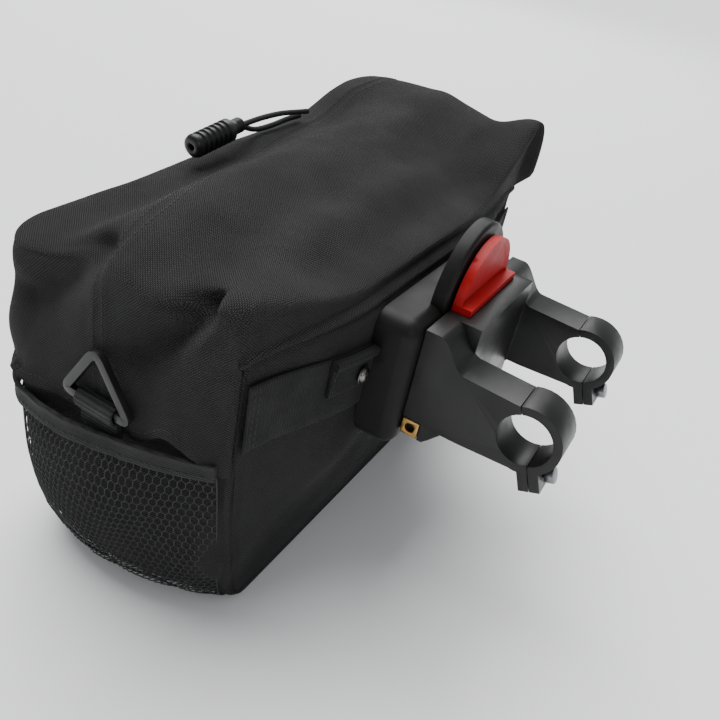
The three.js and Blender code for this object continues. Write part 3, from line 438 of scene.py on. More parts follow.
def fold_shift(points):
    """How far the lid's pull folds and its proud corners move points of its surface."""
    shift = np.zeros_like(points)
    hem = SEAM_HEIGHT - END_SKIRT + SKIRT_OVERLAP
    clear = eased(hem, hem + FOLD_SIZE, points[..., 2])
    for fold in FOLDS:
        x = fold.side * BAG_WIDTH / 2
        start = (x, PANEL_Y + fold.forward * BAG_DEPTH, SEAM_HEIGHT + fold.rise * LID_RISE)
        end = (x, PANEL_Y + fold.forward_to * BAG_DEPTH, SEAM_HEIGHT + fold.rise_to * LID_RISE)
        away, _ = line_distance(points, start, end)
        near = clear * np.exp(-(away / (fold.width * FOLD_SIZE)) ** fold.crisp)
        size = fold.depth * FOLD_SIZE * near
        shift[..., 0] -= fold.side * size
        shift[..., 2] -= 0.35 * size * np.tanh((points[..., 2] - SEAM_HEIGHT + LID_RISE / 4) / 0.012)
    risen = eased(SEAM_HEIGHT - EAR_SIZE / 4, SEAM_HEIGHT + EAR_SIZE / 3, points[..., 2])
    for ear in EARS:
        corner = np.array([ear.side * BAG_WIDTH / 2, PANEL_Y + ear.forward * BAG_DEPTH])
        away = np.linalg.norm(points[..., :2] - corner, axis=-1)
        near = np.exp(-(away / (2 * EAR_SIZE)) ** 2) * risen
        shift[..., 0] += ear.side * ear.out * EAR_SIZE * near
        shift[..., 1] -= ear.back * EAR_SIZE * near
    return shift


def waves(points, size, seed, stretch=(1, 1, 1)):
    """Soft noise between -1 and 1, with waves about size metres wide."""
    scaled = (points / (size * np.array(stretch)) + seed).reshape(-1, 3)
    return np.array([noise.noise(Vector(p)) for p in scaled]).reshape(points.shape[:-1])


def grid_normals(points, closed):
    """Outward normals of a grid whose columns run round the bag."""
    if closed:
        padded = np.concatenate([points[:, -1:], points, points[:, :1]], 1)
        along = (padded[:, 2:] - padded[:, :-2])
    else:
        along = np.gradient(points, axis=1)
    normal = np.cross(np.gradient(points, axis=0), along)
    normal /= np.maximum(np.linalg.norm(normal, axis=-1, keepdims=True), 1e-12)
    outward = points - np.array([0, MIDDLE_Y, SEAM_HEIGHT / 2])
    return normal * np.sign((normal * outward).sum((0, 1, 2)) or 1)


def columns_round(back, rear_corner, end, front_corner, front):
    """Places round the outline, with a count of steps for each stretch."""
    steps = (back, rear_corner, end, front_corner, front, front_corner, end, rear_corner)
    return np.concatenate([side + np.arange(count) / count for side, count in enumerate(steps)])


def hem_hump(place):
    """Share of the hem's rise beside the rear corner on the rider's left."""
    right = on_right(place)
    hump = np.exp(-((right - 2.24) / 0.09) ** 2) + 0.45 * np.exp(-((right - 2.1) / 0.08) ** 2)
    return hump * (place > FRONT_MIDDLE)


def hem_height(place):
    """Height of the lid's hem: the seam at the back, a deep skirt at the ends and a short one in front."""
    place = np.asarray(place, float) % 8
    x = np.abs(outline(place, SEAM_HEIGHT - END_SKIRT, LID_OUT)[..., 0])
    low = BAG_WIDTH / 2 - SLOPE_INSET
    rise = (END_SKIRT - FRONT_SKIRT) * (1 - eased(low - SLOPE_WIDTH, low, x))
    in_front = (place > 3.5) & (place < 5.5)
    return SEAM_HEIGHT - END_SKIRT + np.where(in_front, rise, 0) + HEM_RISE * hem_hump(place)


def new_piece(name, points, faces, material):
    """A smooth mesh object in the scene."""
    mesh = bpy.data.meshes.new(name)
    mesh.from_pydata([tuple(p) for p in np.asarray(points).reshape(-1, 3)], [], faces)
    mesh.validate()
    piece = bpy.data.objects.new(name, mesh)
    bpy.context.scene.collection.objects.link(piece)
    mesh.materials.append(material)
    for face in mesh.polygons:
        face.use_smooth = True
    return piece


def grid_faces(rows, columns, closed, start=0):
    """Faces between the points of a grid that follow each other row by row."""
    faces = []
    for r in range(rows - 1):
        for c in range(columns if closed else columns - 1):
            d = (c + 1) % columns
            a, b = start + r * columns, start + (r + 1) * columns
            faces.append((a + c, a + d, b + d, b + c))
    return faces


def recalculate(piece):
    activate(piece)
    bpy.ops.object.mode_set(mode="EDIT")
    bpy.ops.mesh.select_all(action="SELECT")
    bpy.ops.mesh.normals_make_consistent(inside=False)
    bpy.ops.object.mode_set(mode="OBJECT")


def face_out(piece):
    """Turns every face of an open sheet outwards, away from the bag's middle."""
    recalculate(piece)
    centre = Vector((0, MIDDLE_Y, SEAM_HEIGHT / 2))
    votes = sum((face.center - centre).dot(face.normal) * face.area for face in piece.data.polygons)
    if votes < 0:
        bpy.ops.object.mode_set(mode="EDIT")
        bpy.ops.mesh.flip_normals()
        bpy.ops.object.mode_set(mode="OBJECT")


def cloth_map(piece):
    """A UV map in metres, laid flat on each face from the side that it faces most."""
    mesh = piece.data
    layer = mesh.uv_layers.new(name="cloth")
    for face in mesh.polygons:
        steep = [abs(value) for value in face.normal]
        axis = steep.index(max(steep)) if steep[2] < 0.6 else 2
        u, v = ((1, 2), (0, 2), (0, 1))[axis]
        for loop in face.loop_indices:
            co = mesh.vertices[mesh.loops[loop].vertex_index].co
            layer.data[loop].uv = (co[u], co[v])


def deselect():
    bpy.ops.object.select_all(action="DESELECT")


def activate(piece):
    deselect()
    piece.select_set(True)
    bpy.context.view_layer.objects.active = piece


def finish_with(piece, kind, **settings):
    """Adds a modifier with these settings and applies it."""
    activate(piece)
    bpy.ops.object.modifier_add(type=kind)
    modifier = piece.modifiers[-1]
    for name, value in settings.items():
        setattr(modifier, name, value)
    bpy.ops.object.modifier_apply(modifier=modifier.name)


def shade(piece, degrees=40):
    activate(piece)
    bpy.ops.object.shade_smooth_by_angle(angle=math.radians(degrees))


def settle(piece, name, material):
    """Puts the object's place into its mesh and gives it its name and material."""
    activate(piece)
    bpy.ops.object.transform_apply(location=True, rotation=True, scale=True)
    piece.name = name
    piece.data.name = name
    piece.data.materials.clear()
    piece.data.materials.append(material)
    return piece


def box(name, low, high, material):
    low, high = Vector(low), Vector(high)
    deselect()
    bpy.ops.mesh.primitive_cube_add(size=1, location=(low + high) / 2)
    piece = bpy.context.object
    piece.scale = high - low
    return settle(piece, name, material)


def cylinder(name, radius, depth, centre, turn, material, sides=64):
    deselect()
    bpy.ops.mesh.primitive_cylinder_add(
        vertices=sides, radius=radius, depth=depth, location=centre, rotation=turn)
    return settle(bpy.context.object, name, material)


def select_faces(piece, test):
    """Enters edit mode with only the faces that pass a test selected."""
    activate(piece)
    bpy.ops.object.mode_set(mode="EDIT")
    bpy.ops.mesh.select_mode(type="FACE")
    bpy.ops.mesh.select_all(action="DESELECT")
    bpy.ops.object.mode_set(mode="OBJECT")
    for face in piece.data.polygons:
        face.select = test(face)
    bpy.ops.object.mode_set(mode="EDIT")


def select_edges(piece, test):
    """Enters edit mode with only the edges whose two ends pass a test selected."""
    activate(piece)
    bpy.ops.object.mode_set(mode="EDIT")
    bpy.ops.mesh.select_mode(type="EDGE")
    bpy.ops.mesh.select_all(action="DESELECT")
    bpy.ops.object.mode_set(mode="OBJECT")
    vertices = piece.data.vertices
    for edge in piece.data.edges:
        a, b = (vertices[i].co for i in edge.vertices)
        edge.select = test(a, b)
    bpy.ops.object.mode_set(mode="EDIT")


def bevel_edges(piece, test, offset, segments):
    select_edges(piece, test)
    bpy.ops.mesh.bevel(offset=offset, segments=segments, affect="EDGES")
    bpy.ops.object.mode_set(mode="OBJECT")


def combine(piece, other, operation):
    """Joins another solid to a piece or cuts it away, and removes the other."""
    finish_with(piece, "BOOLEAN", object=other, operation=operation, solver="EXACT")
    bpy.data.objects.remove(other)


def round_edges(piece, width, segments=2, degrees=32):
    finish_with(piece, "BEVEL", width=width, segments=segments, limit_method="ANGLE",
                angle_limit=math.radians(degrees), use_clamp_overlap=True)
    shade(piece)


def copy_of(node, name, material, edge, segments=2):
    """A merged copy of a node of the frame with its sharp edges rounded."""
    piece = bpy.data.objects.new(name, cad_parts[node].data.copy())
    bpy.context.scene.collection.objects.link(piece)
    settle(piece, name, material)
    bpy.ops.mesh.customdata_custom_splitnormals_clear()
    bpy.ops.object.mode_set(mode="EDIT")
    bpy.ops.mesh.select_all(action="SELECT")
    bpy.ops.mesh.remove_doubles(threshold=2e-6)
    bpy.ops.mesh.dissolve_limited(angle_limit=math.radians(2))
    bpy.ops.object.mode_set(mode="OBJECT")
    round_edges(piece, edge, segments)
    return piece


def place_piece(piece, body, nodes=()):
    """Gives a piece its body and the nodes that it stands for."""
    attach(piece, body)
    if nodes:
        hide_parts(*nodes)
    return piece


class Nodes:
    """A short way to write a node tree."""

    def __init__(self, tree):
        self.tree = tree

    def add(self, kind, inputs=None, **settings):
        node = self.tree.nodes.new(kind)
        for name, value in settings.items():
            setattr(node, name, value)
        for name, value in (inputs or {}).items():
            self.plug(node.inputs[name], value)
        return node

    def plug(self, socket, value):
        if isinstance(value, bpy.types.NodeSocket):
            self.tree.links.new(value, socket)
        else:
            socket.default_value = value

    def math(self, operation, *values):
        node = self.add("ShaderNodeMath", operation=operation)
        for socket, value in zip(node.inputs, values):
            self.plug(socket, value)
        return node.outputs[0]

    def blend(self, share, first, second):
        node = self.add("ShaderNodeMix", data_type="RGBA")
        for socket, value in zip((node.inputs[0], node.inputs[6], node.inputs[7]), (share, first, second)):
            self.plug(socket, value)
        return node.outputs[2]

    def between(self, share, low, high):
        """Low at a share of 0 and high at a share of 1."""
        return self.math("ADD", self.math("MULTIPLY", share, self.math("SUBTRACT", high, low)), low)

    def noise(self, vector, scale, detail=2.0):
        return self.add("ShaderNodeTexNoise", {"Vector": vector, "Scale": scale, "Detail": detail}).outputs[0]

    def split(self, vector):
        return self.add("ShaderNodeSeparateXYZ", {0: vector}).outputs

    def spread(self, value, low, high):
        """Stretches the stretch from low to high over 0 to 1."""
        node = self.add("ShaderNodeMapRange", {0: value, 1: low, 2: high})
        return node.outputs[0]


def node_group(name, given, made, build):
    """Builds a shader node group once. Given and made list its sockets."""
    tree = bpy.data.node_groups.get(name)
    if tree:
        return tree
    tree = bpy.data.node_groups.new(name, "ShaderNodeTree")
    for label, kind in given:
        tree.interface.new_socket(label, in_out="INPUT", socket_type="NodeSocket" + kind)
    for label, kind in made:
        tree.interface.new_socket(label, in_out="OUTPUT", socket_type="NodeSocket" + kind)
    nodes = Nodes(tree)
    first = nodes.add("NodeGroupInput")
    last = nodes.add("NodeGroupOutput")
    for label, value in build(nodes, first.outputs).items():
        nodes.plug(last.inputs[label], value)
    return tree


def weave_build(nodes, given):
    """Plain weave of coarse yarn: round tops in rows of dots, with a painted highlight on the yarn tops and
    painted shade in the gaps where a yarn dives.
    """
    where = given["Vector"]
    u, v, _ = nodes.split(where)
    shake = nodes.math("MULTIPLY", nodes.noise(where, 500.0), 0.7)
    sway = nodes.math("MULTIPLY", nodes.noise(where, 230.0, 1.0), 1.2)
    u = nodes.math("ADD", nodes.math("DIVIDE", u, given["Yarn"]), shake)
    v = nodes.math("ADD", nodes.math("DIVIDE", v, given["Yarn"]), sway)
    count = nodes.math("ADD", nodes.math("FLOOR", u), nodes.math("FLOOR", v))
    over = nodes.math("LESS_THAN", nodes.math("WRAP", count, 2.0, 0.0), 0.5)
    tops = [nodes.math("SINE", nodes.math("MULTIPLY", nodes.math("FRACT", w), math.pi)) for w in (u, v)]
    warp = nodes.between(tops[1], 0.05, 1.25)
    weft = nodes.between(tops[0], 0.0, 0.36)
    height = nodes.between(over, weft, warp)
    fibre = nodes.spread(nodes.noise(where, 2600.0, 3.0), 0.3, 0.7)
    broad = nodes.spread(nodes.noise(where, 26.0, 4.0), 0.3, 0.75)
    lint = nodes.spread(nodes.noise(where, 900.0, 4.0), 0.66, 0.76)
    # The colour follows the yarn height: painted shade in the gaps between yarns and a painted highlight on
    # the yarn tops; fibre and broad add random tone.
    tone = nodes.math("MULTIPLY", height, nodes.between(fibre, 0.6, 1.15))
    tone = nodes.math("MULTIPLY", tone, nodes.between(broad, 0.72, 1.12))
    colour = nodes.blend(tone, given["Painted Gap Shade"], given["Colour"])
    colour = nodes.blend(nodes.math("MULTIPLY", lint, 0.25), colour, given["Lint"])
    rough = nodes.between(broad, 0.95, 0.78)
    return {"Colour": colour, "Height": height, "Roughness": rough}


def ribs_build(nodes, given):
    """Narrow webbing: ribs across its length, with fine yarns along it, painted shade between the ribs and a
    painted highlight on their tops.
    """
    where = given["Vector"]
    u, v, _ = nodes.split(where)
    jitter = nodes.math("MULTIPLY", nodes.noise(where, 700.0), 0.5)
    u = nodes.math("ADD", nodes.math("DIVIDE", u, given["Pitch"]), jitter)
    v = nodes.math("DIVIDE", v, nodes.math("MULTIPLY", given["Pitch"], 0.55))
    rib = nodes.math("SINE", nodes.math("MULTIPLY", nodes.math("FRACT", u), math.pi))
    yarn = nodes.math("ABSOLUTE", nodes.math("SINE", nodes.math("MULTIPLY", v, math.pi)))
    height = nodes.math("ADD", nodes.math("MULTIPLY", rib, 0.7), nodes.math("MULTIPLY", yarn, 0.3))
    broad = nodes.spread(nodes.noise(where, 60.0, 3.0), 0.3, 0.75)
    # The colour follows the rib height: painted shade in the dips and a painted highlight on the rib tops.
    tone = nodes.math("MULTIPLY", height, nodes.between(broad, 0.7, 1.1))
    colour = nodes.blend(tone, given["Painted Gap Shade"], given["Colour"])
    return {"Colour": colour, "Height": height, "Roughness": nodes.between(broad, 0.9, 0.7)}


def braid_build(nodes, given):
    """Fine braid of round cord and thread, drawn in two directions."""
    where = given["Vector"]
    x, y, z = nodes.split(where)
    turn = nodes.math("ADD", y, z)
    first = nodes.math("ADD", x, turn)
    second = nodes.math("SUBTRACT", x, turn)
    strands = []
    for way in (first, second):
        wave = nodes.math("MULTIPLY", nodes.math("DIVIDE", way, given["Pitch"]), math.pi)
        strands.append(nodes.math("ABSOLUTE", nodes.math("SINE", wave)))
    height = nodes.math("MAXIMUM", strands[0], strands[1])
    fibre = nodes.noise(where, 3000.0)
    # The colour follows the strand height: painted shade in the dips between strands and a painted highlight
    # on their tops.
    tone = nodes.math("MULTIPLY", height, nodes.between(fibre, 0.7, 1.1))
    colour = nodes.blend(tone, given["Painted Gap Shade"], given["Colour"])
    return {"Colour": colour, "Height": height, "Roughness": nodes.between(fibre, 0.9, 0.7)}


def moulded_build(nodes, given):
    """Moulded plastic: fine grain, handling marks, and paler worn edges."""
    where = given["Vector"]
    grain = nodes.noise(where, given["Grain"], 3.0)
    marks = nodes.spread(nodes.noise(where, 70.0, 5.0), 0.35, 0.7)
    scuffs = nodes.add("ShaderNodeTexNoise", {
        "Vector": nodes.add("ShaderNodeMapping", {"Vector": where, "Scale": (4.0, 1.0, 1.0)}).outputs[0],
        "Scale": 240.0, "Detail": 6.0, "Roughness": 0.7,
    })
    scuffs = nodes.spread(scuffs.outputs[0], 0.6, 0.72)
    pointed = nodes.add("ShaderNodeNewGeometry").outputs["Pointiness"]
    edge = nodes.math("MULTIPLY", nodes.spread(pointed, 0.51, 0.6), nodes.between(marks, 0.4, 1.0))
    worn = nodes.math("MINIMUM", nodes.math("ADD", edge, nodes.math("MULTIPLY", scuffs, 0.25)), 1.0)
    colour = nodes.blend(nodes.math("MULTIPLY", worn, given["Wear"]), given["Colour"], given["Worn"])
    low = nodes.math("SUBTRACT", given["Rough"], 0.07)
    high = nodes.math("ADD", given["Rough"], 0.1)
    rough = nodes.between(marks, low, high)
    return {"Colour": colour, "Height": grain, "Roughness": rough}


# The gap colour of the weave, ribs and braid is painted shade for the dips between yarns, ribs and strands.
CLOTH_SOCKETS = [("Vector", "Vector"), ("Yarn", "Float"), ("Colour", "Color"), ("Painted Gap Shade", "Color"),
                 ("Lint", "Color")]
RIB_SOCKETS = [("Vector", "Vector"), ("Pitch", "Float"), ("Colour", "Color"), ("Painted Gap Shade", "Color")]
MOULD_SOCKETS = [("Vector", "Vector"), ("Grain", "Float"), ("Rough", "Float"), ("Wear", "Float"),
                 ("Colour", "Color"), ("Worn", "Color")]
SURFACE = [("Colour", "Color"), ("Height", "Float"), ("Roughness", "Float")]
GROUPS = {
    "weave": (CLOTH_SOCKETS, weave_build),
    "ribs": (RIB_SOCKETS, ribs_build),
    "braid": (RIB_SOCKETS, braid_build),
    "moulded": (MOULD_SOCKETS, moulded_build),
}


def surface(name, effect, values, relief, on_map=False, bump=0.6, **shader):
    """A material: one effect group into a Principled shader, and a bump of the given relief."""
    material = bpy.data.materials.get(name)
    if material:
        return material
    material = bpy.data.materials.new(name)
    material.use_nodes = True
    nodes = Nodes(material.node_tree)
    principled = material.node_tree.nodes["Principled BSDF"]
    if on_map:
        where = nodes.add("ShaderNodeUVMap", uv_map="cloth").outputs[0]
    else:
        where = nodes.add("ShaderNodeTexCoord").outputs["Object"]
    sockets, build = GROUPS[effect]
    group = nodes.add("ShaderNodeGroup", node_tree=node_group(effect, sockets, SURFACE, build))
    for label, value in {"Vector": where, **values}.items():
        nodes.plug(group.inputs[label], value)
    relief_node = nodes.add("ShaderNodeBump", {
        "Height": group.outputs["Height"], "Distance": relief, "Strength": bump,
    })
    nodes.plug(principled.inputs["Base Color"], group.outputs["Colour"])
    nodes.plug(principled.inputs["Roughness"], group.outputs["Roughness"])
    nodes.plug(principled.inputs["Normal"], relief_node.outputs[0])
    for label, value in shader.items():
        principled.inputs[label.replace("_", " ")].default_value = value
    return material


def bag_sizes():
    return bpy.context.scene.handlebar_bag


def darker(colour, share):
    """A share of a colour, which is paler where the share is over 1."""
    return (*(value * share for value in colour[:3]), 1)


def cloth_material():
    own = bag_sizes()
    # The gap colour, a twenty-fifth of the yarn colour, is painted shade between the yarns.
    return surface("coarse_nylon", "weave", {
        "Yarn": own.yarn, "Colour": tuple(own.cloth_colour), "Painted Gap Shade": darker(own.cloth_colour, 0.04),
        "Lint": (0.07, 0.07, 0.065, 1),
    }, 0.0009, True, 1.0, Sheen_Weight=0.02, Sheen_Roughness=0.4, Specular_IOR_Level=0.22)


def webbing_material(name="strap_webbing", pitch=0.0015, share=1.0):
    own = bag_sizes()
    colour = darker(own.webbing_colour, share)
    # The gap colour is painted shade between the webbing's ribs.
    return surface(name, "ribs", {"Pitch": pitch, "Colour": colour, "Painted Gap Shade": darker(colour, 0.3)},
                   0.0005, True, 0.7, Sheen_Weight=0.015, Sheen_Roughness=0.4, Specular_IOR_Level=0.25)


def cord_material():
    colour = tuple(bag_sizes().webbing_colour)
    # The gap colour is painted shade between the braid's strands.
    return surface("braided_cord", "braid", {"Pitch": 0.0011, "Colour": colour, "Painted Gap Shade": darker(colour, 0.3)},
                   0.0003, False, 0.8, Sheen_Weight=0.01, Specular_IOR_Level=0.3)


def thread_material(name="net_thread", share=3.4):
    colour = darker(bag_sizes().webbing_colour, share)
    # The gap colour is painted shade between the braid's strands.
    return surface(name, "braid", {"Pitch": 0.0005, "Colour": colour, "Painted Gap Shade": darker(colour, 0.45)},
                   0.0001, False, 0.5, Sheen_Weight=0.02, Specular_IOR_Level=0.3)


def plastic_material(name="moulded_plastic", rough=0.42, grain=2200.0, relief=0.00006, shine=0.14):
    colour = tuple(bag_sizes().plastic_colour)
    return surface(name, "moulded", {
        "Grain": grain, "Rough": rough, "Wear": 0.5, "Colour": colour, "Worn": (0.035, 0.035, 0.034, 1),
    }, relief, False, 0.5, Specular_IOR_Level=shine)


def red_material():
    colour = tuple(bag_sizes().button_colour)
    return surface("button_plastic", "moulded", {
        "Grain": 2600.0, "Rough": 0.46, "Wear": 0.12, "Colour": colour, "Worn": (0.6, 0.04, 0.035, 1),
    }, 0.00003, False, 0.25, Specular_IOR_Level=0.2)


def metal_material(name, colour, worn, rough):
    return surface(name, "moulded", {
        "Grain": 1800.0, "Rough": rough, "Wear": 0.6, "Colour": colour, "Worn": worn,
    }, 0.00003, False, 0.5, Metallic=1.0)


def stage_material():
    tone = (0.92, 0.92, 0.92, 1)
    return surface("pale_floor", "moulded", {
        "Grain": 60.0, "Rough": 0.75, "Wear": 0.0, "Colour": tone, "Worn": tone,
    }, 0.0001, False, 0.1)


def sheet_tree(piece):
    """A search tree of the piece's surface."""
    mesh = piece.data
    return BVHTree.FromPolygons([v.co for v in mesh.vertices], [face.vertices for face in mesh.polygons])


def even_path(points, pitch):
    """Points along a line, one pitch apart."""
    points = np.asarray(points, float)
    run = np.concatenate([[0], np.cumsum(np.linalg.norm(np.diff(points, axis=0), axis=1))])
    count = max(2, int(round(run[-1] / pitch)) + 1)
    at = np.linspace(0, run[-1], count)
    return np.stack([np.interp(at, run, points[:, i]) for i in range(3)], -1)


class Stitching:
    """Collects short thread capsules that lie on surfaces, to be joined into one mesh."""

    def __init__(self):
        self.points = []
        self.faces = []

    def capsule(self, start, end, normal):
        way = (end - start).normalized()
        side = way.cross(normal).normalized()
        length = (end - start).length
        first = len(self.points)
        profile = ((0.0, 0.25), (0.18, 0.85), (0.5, 1.0), (0.82, 0.85), (1.0, 0.25))
        for share, fat in profile:
            dip = -0.25 * STITCH_HALF_WIDTH * (2 * abs(share - 0.5)) ** 2
            centre = start + way * (length * share) + normal * dip
            for k in range(6):
                angle = math.radians(60 * k)
                offset = side * math.cos(angle) + normal * (0.8 * math.sin(angle))
                self.points.append(centre + offset * (STITCH_HALF_WIDTH * fat))
        for ring in range(len(profile) - 1):
            a, b = first + 6 * ring, first + 6 * ring + 6
            for k in range(6):
                d = (k + 1) % 6
                self.faces.append((a + k, a + d, b + d, b + k))
        self.faces.append(tuple(first + k for k in reversed(range(6))))
        last = first + 6 * (len(profile) - 1)
        self.faces.append(tuple(last + k for k in range(6)))

    def row(self, points, tree, aside=0.0):
        """A row of stitches on the surface of a tree, at a distance aside of the line."""
        spots = []
        path = even_path(points, bag_sizes().stitch)
        for i, point in enumerate(path):
            way = Vector(path[min(i + 1, len(path) - 1)] - path[max(i - 1, 0)])
            place, normal, _, _ = tree.find_nearest(Vector(point))
            if aside:
                shifted = place + way.cross(normal).normalized() * aside
                place, normal, _, _ = tree.find_nearest(shifted)
            spots.append((place, normal))
        for (start, normal), (end, _) in zip(spots, spots[1:]):
            trim = (end - start) * (1 - STITCH_SHARE) / 2
            if (end - start).length > 2.5 * bag_sizes().stitch:
                continue
            lift = normal * (0.3 * STITCH_HALF_WIDTH)
            self.capsule(start + trim + lift, end - trim + lift, normal)

    def make(self, name):
        piece = new_piece(name, [tuple(p) for p in self.points], self.faces,
                          thread_material("stitch_thread", 1.9))
        return place_piece(piece, "bag")


def lid_columns():
    return columns_round(72, 6, 60, 22, 72)


def lid_top(reach, place):
    edge = swollen(place, SEAM_HEIGHT, LID_OUT, 0)
    x = edge[..., 0] * reach
    y = MIDDLE_Y + (edge[..., 1] - MIDDLE_Y) * reach
    rounding = np.clip(1 - reach ** EDGE_FULLNESS, 0, 1) ** EDGE_ROUNDNESS
    return np.stack([x, y, SEAM_HEIGHT + crown_height(x, y) * rounding], -1)


def lid_skirt(share, place):
    """The lid under its seam, sewn into the back corners at its two upright edges."""
    drop = SEAM_HEIGHT - hem_height(place)
    from_corner = np.minimum(place - SKIRT_FROM, SKIRT_TO - place)
    tucked = SEWN_OUT + (LID_OUT - SEWN_OUT) * eased(0, 0.66, from_corner)
    out = LID_OUT + (tucked - LID_OUT) * eased(0, 0.12, share)
    points = swollen(place, SEAM_HEIGHT - share * drop, out, 0)
    hem = eased(0.75, 1, share) * eased(0, 0.8, from_corner)
    ripple = np.sin(place * 23) * 0.0009 + np.sin(place * 41 + 1.3) * 0.0005
    ends = eased(0.6, 0.95, np.abs(points[..., 0]) / (BAG_WIDTH / 2))
    calm = 1 - np.exp(-((np.abs(place - FRONT_MIDDLE) - 1) / 0.35) ** 2)
    aside = hem * np.maximum(ripple, -0.0004) * ends * calm - 0.0009 * hem * (1 - calm)
    aside = aside + HEM_FLARE * hem_hump(place) * share ** 3
    points[..., 0] += np.sign(points[..., 0]) * aside
    points[..., 2] += hem * 0.5 * ripple
    return points


def lid_seam_path(tree):
    """The double seam's line on the lid's surface, from the left ring over the top to the right one."""
    def on_end(side, forward, height):
        start = Vector((side * BAG_WIDTH, PANEL_Y + forward * BAG_DEPTH, height))
        return tree.ray_cast(start, Vector((-side, 0, 0)))[0]

    heights = np.linspace(SEAM_HEIGHT - END_SKIRT + 0.004, SEAM_HEIGHT + 0.006, 9)
    left = [on_end(-1, END_SEAM_FORWARD + 0.01 * (z - SEAM_HEIGHT) / END_SKIRT, z) for z in heights]
    across = np.linspace(TOP_SEAM[0].across, TOP_SEAM[-1].across, 60)
    top = []
    for share in across:
        y = PANEL_Y + smooth(TOP_SEAM, "forward", share) * BAG_DEPTH
        start = Vector((share * BAG_WIDTH / 2, y, 2 * SEAM_HEIGHT))
        top.append(tree.ray_cast(start, Vector((0, 0, -1)))[0])
    forwards = np.linspace(0.78, END_SEAM_FORWARD, 16)
    drops = np.linspace(SEAM_HEIGHT + 0.028, SEAM_HEIGHT - END_SKIRT + 0.004, 16)
    right = [on_end(1, forward, z) for forward, z in zip(forwards, drops)]
    found = [p for p in left + top + right if p is not None]
    return even_path([tuple(p) for p in found], 0.0015)


def path_distance(points, path):
    best = np.full(points.shape[:-1], 1.0)
    for spot in path:
        np.minimum(best, np.linalg.norm(points - spot, axis=-1), out=best)
    return best


def crease_height(points):
    total = np.zeros(points.shape[:-1])
    upward = eased(SEAM_HEIGHT + 0.004, SEAM_HEIGHT + 0.012, points[..., 2])
    for crease in CREASES:
        start = np.array([crease.across * BAG_WIDTH / 2, PANEL_Y + crease.forward * BAG_DEPTH])
        end = np.array([crease.across_to * BAG_WIDTH / 2, PANEL_Y + crease.forward_to * BAG_DEPTH])
        away, along = line_distance(points[..., :2], start, end)
        fade = np.sin(np.pi * np.clip(along, 0.12, 0.88))
        total -= crease.depth * fade * np.exp(-(away / crease.width) ** 2)
    return total * upward


def end_lift(points):
    """How far the lid's far end rises over its solid."""
    total = np.zeros(len(points))
    for lift in LIFTS:
        spot = (lift.across * BAG_WIDTH / 2, PANEL_Y + lift.forward * BAG_DEPTH)
        total += lift.rise * np.exp(-(np.linalg.norm(points[:, :2] - spot, axis=1) / lift.width) ** 2)
    return total * eased(SEAM_HEIGHT + 0.005, SEAM_HEIGHT + 0.03, points[:, 2])


